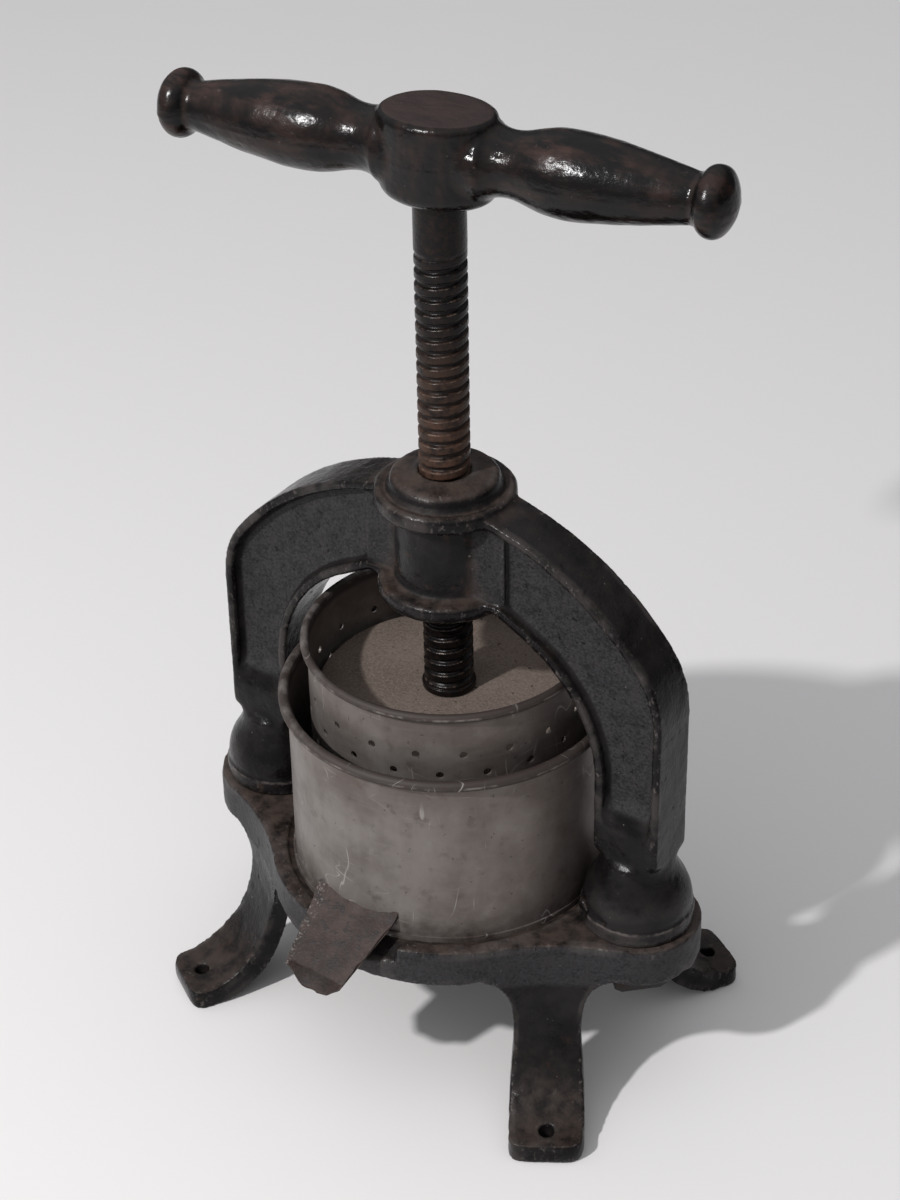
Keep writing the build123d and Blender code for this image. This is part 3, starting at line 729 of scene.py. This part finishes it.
def strainer_mesh():
    """Strainer's wall: rolled rim, bands of drain holes and a plain lower edge."""
    seed = 111
    bottom, top = strainer_low.z, strainer_high.z
    first_row = top - HOLE_TOP_DROP
    band_top = first_row + HOLE_ROW_PITCH / 2
    band_bottom = first_row - (HOLE_ROWS - 0.5) * HOLE_ROW_PITCH
    rim_height = top - STRAINER_BEAD
    upper = wall_line(strainer_radius - SHEET, band_top, rim_height, 5)[:-1]
    upper += rolled_edge(strainer_radius, STRAINER_BEAD, top)
    upper += wall_line(strainer_radius, rim_height, band_top, 5)[1:]
    lower = wall_line(strainer_radius - SHEET, band_bottom, bottom, 4)
    lower += wall_line(strainer_radius, bottom, band_bottom, 4)
    parts = [revolved(section, False, strainer_radius, bottom, top, seed) for section in (upper, lower)]
    pitch = 2 * math.pi / HOLES_PER_ROW
    for row in range(HOLE_ROWS):
        start = math.radians(HOLE_FIRST_ANGLE) + pitch / 2 * (row % 2)
        for place in range(HOLES_PER_ROW):
            height = first_row - row * HOLE_ROW_PITCH
            parts.append(hole_cell(start + place * pitch, height, bottom, top, seed))
    points = []
    faces = []
    for part_points, part_faces in parts:
        begin = sum(len(one) for one in points)
        points.append(part_points)
        faces += [tuple(begin + corner for corner in face) for face in part_faces]
    return mesh_from("strainer_wall_sheet", np.concatenate(points), faces)


class Finish:
    """A node material put together from small steps."""

    def __init__(self, name):
        self.material = bpy.data.materials.new(name)
        self.material.use_nodes = True
        self.tree = self.material.node_tree
        self.shader = self.tree.nodes["Principled BSDF"]
        self.place = self.tree.nodes.new("ShaderNodeTexCoord").outputs["Object"]

    def feed(self, socket, value):
        """Links an output to an input, or writes a plain number or colour on it."""
        if isinstance(value, bpy.types.NodeSocket):
            self.tree.links.new(value, socket)
        elif isinstance(value, tuple) and len(socket.default_value) == 4:
            socket.default_value = (*value, 1.0)
        else:
            socket.default_value = value

    def patches(self, size, detail=3.0, stretch=(1.0, 1.0, 1.0)):
        """Soft random patches of about the given size, from 0 to 1."""
        mapping = self.tree.nodes.new("ShaderNodeMapping")
        self.feed(mapping.inputs["Vector"], self.place)
        mapping.inputs["Scale"].default_value = stretch
        texture = self.tree.nodes.new("ShaderNodeTexNoise")
        self.feed(texture.inputs["Vector"], mapping.outputs[0])
        texture.inputs["Scale"].default_value = 1 / size
        texture.inputs["Detail"].default_value = detail
        texture.inputs["Roughness"].default_value = 0.6
        return texture.outputs[0]

    def share(self, value, low, high):
        """0 at low, 1 at high and a smooth rise between."""
        rise = self.tree.nodes.new("ShaderNodeMapRange")
        rise.interpolation_type = "SMOOTHSTEP"
        self.feed(rise.inputs["Value"], value)
        rise.inputs["From Min"].default_value = low
        rise.inputs["From Max"].default_value = high
        return rise.outputs[0]

    def math(self, operation, first, second):
        sum_node = self.tree.nodes.new("ShaderNodeMath")
        sum_node.operation = operation
        self.feed(sum_node.inputs[0], first)
        self.feed(sum_node.inputs[1], second)
        return sum_node.outputs[0]

    def times(self, first, second):
        return self.math("MULTIPLY", first, second)

    def most(self, first, second):
        return self.math("MAXIMUM", first, second)

    def mix(self, share, under, over):
        """One colour over another, by a share from 0 to 1. The node's colours are its sockets 6 and 7."""
        mixer = self.tree.nodes.new("ShaderNodeMix")
        mixer.data_type = "RGBA"
        self.feed(mixer.inputs[0], share)
        self.feed(mixer.inputs[6], under)
        self.feed(mixer.inputs[7], over)
        return mixer.outputs[2]

    def paint(self, share, over, amount=None):
        """Lays a colour over the finish so far, by a share from 0 to 1, times an amount if one is given."""
        if amount:
            share = self.times(share, amount)
        self.colour = self.mix(share, self.colour, over)

    def blend(self, share, under, over):
        """One number over another, by a share from 0 to 1."""
        mixer = self.tree.nodes.new("ShaderNodeMix")
        self.feed(mixer.inputs[0], share)
        self.feed(mixer.inputs[2], under)
        self.feed(mixer.inputs[3], over)
        return mixer.outputs[0]

    def attribute(self, name):
        reader = self.tree.nodes.new("ShaderNodeAttribute")
        reader.attribute_name = name
        return reader.outputs["Fac"]

    def facing(self, axis):
        """How far the surface faces along an axis, from -1 to 1."""
        split = self.tree.nodes.new("ShaderNodeSeparateXYZ")
        self.feed(split.inputs[0], self.tree.nodes.new("ShaderNodeNewGeometry").outputs["Normal"])
        return split.outputs[axis]

    def along(self, axis):
        """Place along an axis of the part's frame."""
        split = self.tree.nodes.new("ShaderNodeSeparateXYZ")
        self.feed(split.inputs[0], self.place)
        return split.outputs[axis]

    def size(self, value):
        """A number without its sign."""
        return self.math("ABSOLUTE", value, 0.0)

    def scratches(self, size, width, stretch):
        """Thin wandering lines, where a stretched random field crosses its middle."""
        field = self.patches(size, 1.5, stretch)
        off_middle = self.size(self.math("SUBTRACT", field, 0.5))
        return self.share(off_middle, width, 0.0)

    def near_axis(self, outside, inside):
        """0 beyond the outer distance from the screw's axis, 1 within the inner one."""
        flat = self.tree.nodes.new("ShaderNodeVectorMath")
        flat.operation = "MULTIPLY"
        flat.inputs[1].default_value = (1.0, 1.0, 0.0)
        self.feed(flat.inputs[0], self.place)
        distance = self.tree.nodes.new("ShaderNodeVectorMath")
        distance.operation = "LENGTH"
        self.feed(distance.inputs[0], flat.outputs[0])
        return self.share(distance.outputs["Value"], outside, inside)

    def finish(self, roughness, metallic, height, depth, gloss):
        """Puts the finished colour, gloss and relief on the shader."""
        self.feed(self.shader.inputs["Specular IOR Level"], gloss)
        self.feed(self.shader.inputs["Base Color"], self.colour)
        self.feed(self.shader.inputs["Roughness"], roughness)
        self.feed(self.shader.inputs["Metallic"], metallic)
        relief_node = self.tree.nodes.new("ShaderNodeBump")
        relief_node.inputs["Strength"].default_value = 1.0
        relief_node.inputs["Distance"].default_value = depth
        self.feed(relief_node.inputs["Height"], height)
        self.feed(self.shader.inputs["Normal"], relief_node.outputs["Normal"])
        return self.material


def iron_ground(f, wide, middle, grain):
    """Paint itself: black, grey on the yoke's webs, and grey speckle on the base's rim that is a painted
    sheen on its black paint. Gives back how rough it is.
    """
    height = f.along("Z")
    web = f.share(f.size(f.along("Y")), *WEB_PAINT_HALF)
    web = f.times(web, f.share(height, WEB_END - 2 * MM, WEB_END + MM))
    web = f.times(web, f.share(f.size(f.facing("Y")), 0.70, 0.92))
    upright = f.share(f.size(f.facing("Z")), 0.75, 0.35)
    rim = f.share(f.math("SUBTRACT", base_high.z, height), *BASE_RIM_DROP)
    rim = f.times(rim, f.share(height, base_high.z, base_high.z - MM))
    rim = f.times(rim, upright)
    f.colour = f.mix(f.share(wide, 0.36, 0.66), (0.0038, 0.0032, 0.0034), (0.0115, 0.0102, 0.0106))
    speckled = f.math("ADD", f.times(middle, 0.40), f.times(grain, 0.60))
    pale = f.mix(f.share(speckled, 0.34, 0.66), (0.0125, 0.0120, 0.0127), (0.0345, 0.0335, 0.0350))
    f.paint(web, pale)
    # Speckled grey on the base rim's upright faces: a painted sheen standing in for the gloss of the rim's
    # black paint
    f.paint(f.times(rim, f.share(speckled, 0.25, 0.60)), (0.028, 0.027, 0.029))
    pitted = f.times(web, f.share(f.patches(1.9 * MM, 2), 0.62, 0.70))
    f.paint(pitted, (0.0040, 0.0036, 0.0036), 0.8)
    return f.most(web, f.times(rim, 0.6))


def painted_iron():
    """Worn black paint on cast iron, with brown dust on the boss and the base, specks, and pale edges that
    are partly bare metal and partly painted highlight.
    """
    f = Finish("painted_iron_worn")
    wide = f.patches(22 * MM, 4)
    middle = f.patches(6 * MM, 4)
    grain = f.patches(1.1 * MM, 3)
    stands_out = f.attribute("stands_out")
    hollow = f.share(stands_out, -0.10, -0.65)
    edge = f.share(stands_out, 0.30, 0.85)
    top = f.share(f.facing("Z"), 0.40, 0.92)
    height = f.along("Z")
    rough = iron_ground(f, wide, middle, grain)
    f.paint(f.share(middle, 0.5, 0.75), (0.020, 0.014, 0.012), 0.28)
    table = f.share(f.math("SUBTRACT", height, base_high.z), *TABLE_DUST_RISE)
    table = f.times(table, f.share(height, base_high.z - 4 * MM, base_high.z - MM))
    toes = f.times(f.share(height, *LEG_DUST_HEIGHT), 0.7)
    dusty_place = f.most(f.most(f.near_axis(*BOSS_DUST_REACH), table), f.most(toes, 0.12))
    dust = f.times(top, f.times(f.share(middle, 0.24, 0.66), 0.58))
    dust = f.most(dust, f.times(hollow, f.times(f.share(wide, 0.38, 0.66), 0.30)))
    dust = f.times(dust, dusty_place)
    f.paint(dust, (0.070, 0.050, 0.041))
    rust = f.times(f.share(f.patches(9 * MM, 5), 0.60, 0.74), f.times(dusty_place, 0.5))
    f.paint(rust, (0.046, 0.024, 0.016))
    # Pale edges: worn paint, and also a painted highlight that stands in for glints along the flange and
    # foot-ring edges
    nibbled = f.share(f.patches(1.6 * MM, 5, (1.0, 1.0, 0.6)), 0.54, 0.74)
    wear_and_glint = f.times(f.share(stands_out, 0.45, 1.0), nibbled)
    wear_and_glint = f.most(wear_and_glint, f.times(edge, f.times(f.share(wide, 0.45, 0.62), 0.34)))
    ring_edge = f.size(f.math("SUBTRACT", height, base_high.z + FOOT_RING_HEIGHT))
    ring = f.times(f.share(ring_edge, 1.3 * MM, 0.5 * MM), f.share(stands_out, 0.35, 0.80))
    wear_and_glint = f.most(wear_and_glint, f.times(ring, f.share(middle, 0.36, 0.62)))
    f.paint(wear_and_glint, (0.105, 0.090, 0.084), 0.66)
    specks = f.times(f.share(f.patches(1.7 * MM, 1), 0.765, 0.795), 0.5)
    f.paint(specks, (0.13, 0.115, 0.105))
    smooth = f.blend(f.share(middle, 0.3, 0.7), 0.12, 0.26)
    roughness = f.blend(f.most(f.most(dust, f.times(hollow, 0.6)), f.times(rough, 0.6)), smooth, 0.80)
    bumps = f.math("ADD", f.times(grain, f.blend(rough, 0.4, 1.5)), f.times(middle, f.blend(rough, 1.0, 1.2)))
    return f.finish(roughness, 0.0, bumps, 0.32 * MM, 0.13)


def handle_iron():
    """Hand-polished black-brown paint, rubbed to brown in patches."""
    f = Finish("handle_iron_polished")
    wide = f.patches(26 * MM, 4)
    streak = f.patches(7 * MM, 5, (0.35, 0.9, 1.0))
    grain = f.patches(1.5 * MM, 4)
    stands_out = f.attribute("stands_out")
    edge = f.share(stands_out, 0.2, 0.85)
    hollow = f.share(stands_out, -0.1, -0.7)
    top = f.share(f.facing("Z"), 0.1, 0.9)
    rubbed = f.times(f.share(streak, 0.42, 0.62), f.share(wide, 0.32, 0.58))
    rubbed = f.times(rubbed, f.blend(top, 0.45, 1.0))
    rubbed = f.most(rubbed, f.times(edge, f.times(f.share(streak, 0.42, 0.62), 0.6)))
    hub = f.near_axis(*HUB_REACH)
    smeared = f.share(f.patches(5.5 * MM, 5, (1.0, 1.0, 0.55)), 0.40, 0.78)
    rubbed = f.blend(hub, rubbed, f.times(smeared, 0.40))
    f.colour = f.mix(rubbed, (0.0018, 0.0012, 0.0013), (0.032, 0.0165, 0.0130))
    f.paint(hollow, (0.034, 0.020, 0.016), 0.5)
    flat_top = f.times(f.share(f.facing("Z"), 0.90, 0.98), f.near_axis(*HUB_TOP_REACH))
    flat_top = f.times(flat_top, f.blend(f.share(streak, 0.3, 0.7), 0.5, 0.9))
    f.paint(flat_top, (0.034, 0.0205, 0.0185))
    specks = f.share(f.patches(2.2 * MM, 2), 0.71, 0.76)
    f.paint(specks, (0.075, 0.055, 0.048), 0.45)
    roughness = f.blend(rubbed, f.blend(f.share(wide, 0.3, 0.7), 0.14, 0.22), 0.30)
    roughness = f.most(roughness, f.times(flat_top, 0.5))
    lumps = f.times(f.patches(9 * MM, 2), 1.8)
    height = f.math("ADD", f.math("ADD", f.times(grain, 0.45), f.times(streak, 0.9)), lumps)
    return f.finish(roughness, 0.0, height, 0.30 * MM, 0.25)


def screw_steel():
    """Steel thread: black at the top, mottled with rust above the boss and oily black below it."""
    f = Finish("screw_steel_rusty")
    height = f.along("Z")
    wide = f.patches(11 * MM, 4)
    mottle = f.patches(2.4 * MM, 4)
    grain = f.patches(1.2 * MM, 3)
    crest = f.attribute("crest")
    rusty = f.times(f.share(height, *SCREW_RUST_TOP), f.share(height, *SCREW_RUST_FOOT))
    rusty = f.times(rusty, f.share(f.math("ADD", f.times(wide, 0.5), f.times(mottle, 0.5)), 0.34, 0.60))
    rusty = f.most(rusty, f.times(f.share(mottle, 0.40, 0.75), 0.16))
    f.colour = f.mix(rusty, (0.0046, 0.0037, 0.0037), (0.060, 0.0315, 0.0205))
    f.paint(f.times(f.share(grain, 0.5, 0.75), f.times(rusty, 0.6)), (0.026, 0.014, 0.010))
    f.paint(f.share(crest, 0.5, 0.0), (0.0050, 0.0038, 0.0036), 0.75)
    # Paler crest edges below the top: worn steel, and a painted highlight for the glints along the thread
    rim = f.times(f.share(crest, 0.55, 0.80), f.share(crest, 1.0, 0.93))
    wear_and_glint = f.times(rim, f.share(f.patches(2.5 * MM, 3), 0.46, 0.64))
    wear_and_glint = f.times(wear_and_glint, f.share(height, *SCREW_WEAR_AND_GLINT_TOP))
    f.paint(wear_and_glint, (0.125, 0.092, 0.074), 0.55)
    roughness = f.blend(rusty, 0.26, 0.55)
    return f.finish(roughness, 0.20, f.math("ADD", grain, f.times(wide, 0.4)), 0.14 * MM, 0.18)


def tinned_sheet(name, colours, low, high, bead):
    """Dull tinned sheet with blotches, stains at rim and foot, turning marks and plain random scratches,
    painted shade towards +X and painted highlights on the rim.
    """
    pale, dark = colours
    f = Finish(name)
    height = f.along("Z")
    below_rim = f.math("SUBTRACT", high.z, height)
    wide = f.patches(15 * bead, 4)
    blot = f.patches(4 * bead, 5)
    streak = f.patches(5 * MM, 3, (1.0, 1.0, 0.16))
    turning = f.patches(1.6 * MM, 3, (0.06, 0.06, 1.0))
    grain = f.patches(0.9 * MM, 3)
    f.colour = f.mix(f.share(wide, 0.36, 0.64), pale, dark)
    f.paint(f.share(streak, 0.42, 0.75), dark, 0.28)
    f.paint(f.share(turning, 0.50, 0.72), pale, 0.30)
    f.paint(f.share(blot, 0.56, 0.74), (0.070, 0.056, 0.047), 0.60)
    f.paint(f.share(blot, 0.42, 0.26), (0.26, 0.245, 0.235), 0.22)
    # Browner under the rim, a stain; browner towards +X as well, the side turned from the lamp, which is
    # painted shade
    brown = f.times(f.share(below_rim, *RIM_BROWN_DROP), 0.5)
    brown = f.most(brown, f.times(f.share(f.along("X"), 0.1 * high.x, 0.9 * high.x), 0.55))
    brown = f.times(brown, f.blend(f.share(blot, 0.3, 0.7), 0.6, 1.0))
    f.paint(brown, (0.092, 0.066, 0.057))
    rolled = f.share(below_rim, *RIM_STAIN_DROP)
    foot = f.times(f.share(height, low.z + SHEET_FOOT_STAIN, low.z), f.share(wide, 0.2, 0.6))
    stain = f.most(f.times(rolled, f.share(blot, 0.05, 0.32)), f.times(foot, f.share(blot, 0.3, 0.66)))
    f.paint(stain, (0.024, 0.0155, 0.0130), 0.94)
    # Painted highlight: a pale line round the bead's outermost part, where the lamp glints
    off_bead = f.size(f.math("SUBTRACT", below_rim, bead))
    bead_glint_line = f.times(f.share(off_bead, 0.7 * MM, 0.2 * MM), f.share(blot, 0.44, 0.62))
    f.paint(bead_glint_line, (0.20, 0.175, 0.160), 0.55)
    # Painted highlight: the rim's top edge paler on the -X side, towards the lamp
    rim_top_highlight = f.times(f.share(below_rim, *RIM_HIGHLIGHT_DROP), f.share(blot, 0.40, 0.66))
    rim_top_highlight = f.times(rim_top_highlight, f.share(f.along("X"), 0.0, 0.8 * low.x))
    f.paint(rim_top_highlight, (0.30, 0.275, 0.26), 0.30)
    upright = f.scratches(16 * MM, 0.006, (1.0, 1.0, 0.22))
    level = f.scratches(12 * MM, 0.005, (0.3, 0.3, 1.0))
    lines = f.times(f.most(upright, level), f.share(f.patches(21 * MM, 2), 0.52, 0.66))
    f.paint(lines, (0.48, 0.46, 0.44), 0.5)
    dots = f.share(f.patches(1.9 * MM, 1), 0.72, 0.77)
    f.paint(dots, (0.035, 0.030, 0.027), 0.55)
    roughness = f.blend(stain, f.blend(f.share(wide, 0.3, 0.7), 0.42, 0.54), 0.66)
    metallic = f.blend(stain, 0.50, 0.15)
    relief_height = f.math("ADD", f.times(blot, 0.9), f.times(grain, 0.25))
    return f.finish(roughness, metallic, relief_height, 0.16 * MM, 0.45)


def spout_sheet():
    """Brown corroded sheet with dark blots and pale flakes along its left edge."""
    f = Finish("spout_sheet_corroded")
    wide = f.patches(12 * MM, 4)
    blot = f.patches(3.2 * MM, 4)
    grain = f.patches(0.8 * MM, 3)
    f.colour = f.mix(f.share(wide, 0.35, 0.65), (0.045, 0.029, 0.024), (0.021, 0.0135, 0.0115))
    f.paint(f.share(blot, 0.50, 0.62), (0.0100, 0.0070, 0.0065), 0.8)
    f.paint(f.share(grain, 0.55, 0.75), (0.090, 0.068, 0.058), 0.4)
    left = f.share(f.along("X"), *SPOUT_FLAKE_SIDE)
    flakes = f.times(left, f.share(f.patches(0.9 * MM, 3), 0.54, 0.64))
    f.paint(flakes, (0.20, 0.185, 0.175), 0.55)
    height = f.math("ADD", blot, f.times(grain, 0.5))
    return f.finish(f.blend(f.share(blot, 0.4, 0.7), 0.72, 0.55), 0.15, height, 0.32 * MM, 0.4)


def plate_iron():
    """Matte dusty iron with fine grain and a few dark specks."""
    f = Finish("plate_iron_dusty")
    wide = f.patches(24 * MM, 3)
    grain = f.patches(0.9 * MM, 4)
    specks = f.share(f.patches(2.6 * MM, 2), 0.69, 0.75)
    f.colour = f.mix(f.share(wide, 0.3, 0.7), (0.138, 0.107, 0.089), (0.108, 0.082, 0.068))
    f.paint(f.share(grain, 0.45, 0.65), (0.19, 0.150, 0.124), 0.55)
    f.paint(f.share(grain, 0.45, 0.30), (0.062, 0.044, 0.035), 0.50)
    f.paint(specks, (0.020, 0.015, 0.013), 0.8)
    hollow = f.share(f.attribute("stands_out"), -0.1, -0.8)
    f.paint(hollow, (0.03, 0.022, 0.018), 0.7)
    return f.finish(0.88, 0.0, f.math("SUBTRACT", grain, f.times(specks, 1.2)), 0.20 * MM, 0.3)


def plain_steel():
    """Dark steel of hidden fasteners, with brown rust."""
    f = Finish("plain_steel_dark")
    wide = f.patches(7 * MM, 4)
    grain = f.patches(1.0 * MM, 3)
    f.colour = f.mix(f.share(wide, 0.42, 0.62), (0.012, 0.011, 0.011), (0.028, 0.017, 0.012))
    roughness = f.blend(f.share(wide, 0.42, 0.62), 0.42, 0.72)
    return f.finish(roughness, 0.3, grain, 0.15 * MM, 0.4)


def wear(node, material, bevel_width=0.0):
    """Keeps a node's own shape, with a material and softly broken edges."""
    target = frame["nodes"][node]
    target.data.materials.clear()
    target.data.materials.append(material)
    if bevel_width:
        broken = target.modifiers.new("broken_edges", "BEVEL")
        broken.width = bevel_width
        broken.segments = 2
        broken.limit_method = "ANGLE"
        broken.angle_limit = math.radians(50)


def dress_press():
    """Every piece of the press with its material."""
    iron = painted_iron()
    yoke = cast_skin("yoke_casting", YOKE_SKIN, yoke_shape, yoke_soft_zone, drawn_collar)
    piece("yoke_cast", yoke, "yoke_casting", iron)
    base = cast_skin("base_casting", BASE_SKIN, base_shape, base_soft_zone)
    piece("base_cast", base, "base_casting", iron)
    handle = cast_skin("handle_casting", HANDLE_SKIN, handle_shape)
    piece("handle_cast", handle, "handle_casting", handle_iron())
    plate = cast_skin("press_plate", PLATE_SKIN, plate_shape, form=clear_bore)
    piece("press_plate_cast", plate, "press_plate", plate_iron())
    piece("press_screw_threaded", screw_mesh(), "press_screw", screw_steel())

    pot_colours = ((0.186, 0.167, 0.155), (0.118, 0.101, 0.091))
    pot_tin = tinned_sheet("pot_sheet_dull", pot_colours, pot_low, pot_high, POT_BEAD)
    piece("pot_wall_sheet", pot_mesh(), "pot_wall", pot_tin)
    wear("pot_floor", pot_tin)
    strainer_colours = ((0.184, 0.165, 0.153), (0.116, 0.100, 0.091))
    strainer_tin = tinned_sheet(
        "strainer_sheet_dull", strainer_colours, strainer_low, strainer_high, STRAINER_BEAD
    )
    piece("strainer_wall_sheet", strainer_mesh(), "strainer_wall", strainer_tin)
    wear("strainer_floor", strainer_tin)
    corroded = spout_sheet()
    piece("spout_cover_sheet", cover_mesh(), "spout_cover", corroded)
    piece("spout_trough_sheet", trough_mesh(), "spout_trough", corroded)

    steel = plain_steel()
    for side in ("right", "left"):
        piece(side + "_stud_threaded", stud_mesh(side), side + "_column_stud", steel)
        wear(side + "_column_nut", steel, 0.5 * MM)
        wear(side + "_column_washer", steel, 0.25 * MM)
    for node in ("pot_rim_wire", "strainer_rim_wire", "swivel_washer", "swivel_pin", "handle_pin"):
        wear(node, steel)


def floor():
    """Pale matte floor that the press stands on."""
    mesh = bpy.data.meshes.new("floor")
    half = FLOOR_SIZE / 2
    corners = [(-half, -half, -FLOOR_DROP), (half, -half, -FLOOR_DROP), (half, half, -FLOOR_DROP)]
    mesh.from_pydata(corners + [(-half, half, -FLOOR_DROP)], [], [(0, 1, 2, 3)])
    made = placed("floor", mesh)
    f = Finish("pale_floor")
    f.feed(f.shader.inputs["Base Color"], FLOOR_COLOUR)
    f.shader.inputs["Roughness"].default_value = 0.9
    f.shader.inputs["Specular IOR Level"].default_value = 0.1
    mesh.materials.append(f.material)


def light_room():
    """One lamp from the left front, in a room that is brightest overhead on the lamp's side."""
    bearing = math.radians(LAMP_BEARING)
    rise = math.radians(LAMP_HEIGHT_ANGLE)
    tilt = math.radians(ROOM_TILT)
    level = Vector((math.cos(bearing), math.sin(bearing), 0))
    towards = level * math.cos(rise) + Vector((0, 0, math.sin(rise)))
    brightest = level * math.cos(tilt) + Vector((0, 0, math.sin(tilt)))
    lamp = bpy.data.lights.new("key_lamp", "AREA")
    lamp.shape = "DISK"
    lamp.size = LAMP_SIZE
    lamp.energy = LAMP_POWER
    holder = placed("key_lamp", lamp)
    holder.location = Vector(LAMP_AIM) + towards * LAMP_DISTANCE
    holder.rotation_euler = towards.to_track_quat("Z", "Y").to_euler()

    world = bpy.data.worlds.new("room")
    bpy.context.scene.world = world
    world.use_nodes = True
    tree = world.node_tree
    way = tree.nodes.new("ShaderNodeTexCoord").outputs["Generated"]
    facing = tree.nodes.new("ShaderNodeVectorMath")
    facing.operation = "DOT_PRODUCT"
    facing.inputs[1].default_value = brightest
    tree.links.new(way, facing.inputs[0])
    rise_node = tree.nodes.new("ShaderNodeMapRange")
    rise_node.inputs["From Min"].default_value = ROOM_SPREAD[0]
    rise_node.inputs["From Max"].default_value = ROOM_SPREAD[1]
    tree.links.new(facing.outputs["Value"], rise_node.inputs["Value"])
    mixer = tree.nodes.new("ShaderNodeMix")
    mixer.data_type = "RGBA"
    mixer.inputs[6].default_value = (*ROOM_DIM, 1)
    mixer.inputs[7].default_value = (*ROOM_BRIGHT, 1)
    tree.links.new(rise_node.outputs[0], mixer.inputs[0])
    back = tree.nodes["Background"]
    tree.links.new(mixer.outputs[2], back.inputs["Color"])
    back.inputs["Strength"].default_value = ROOM_STRENGTH


def photo_camera():
    """Camera that sees the press as the photograph does."""
    right = Vector(CAMERA_RIGHT).normalized()
    back = Vector(CAMERA_BACK).normalized()
    up = back.cross(right).normalized()
    data = bpy.data.cameras.new("photo_camera")
    data.lens = CAMERA_LENS
    data.sensor_width = SENSOR_SIZE
    holder = placed("photo_camera", data)
    turn = Matrix((up.cross(back), up, back)).transposed()
    holder.matrix_world = Matrix.Translation(CAMERA_PLACE) @ turn.to_4x4()
    bpy.context.scene.camera = holder


dress_press()
floor()
light_room()
photo_camera()
bpy.context.scene.view_settings.view_transform = "Standard"
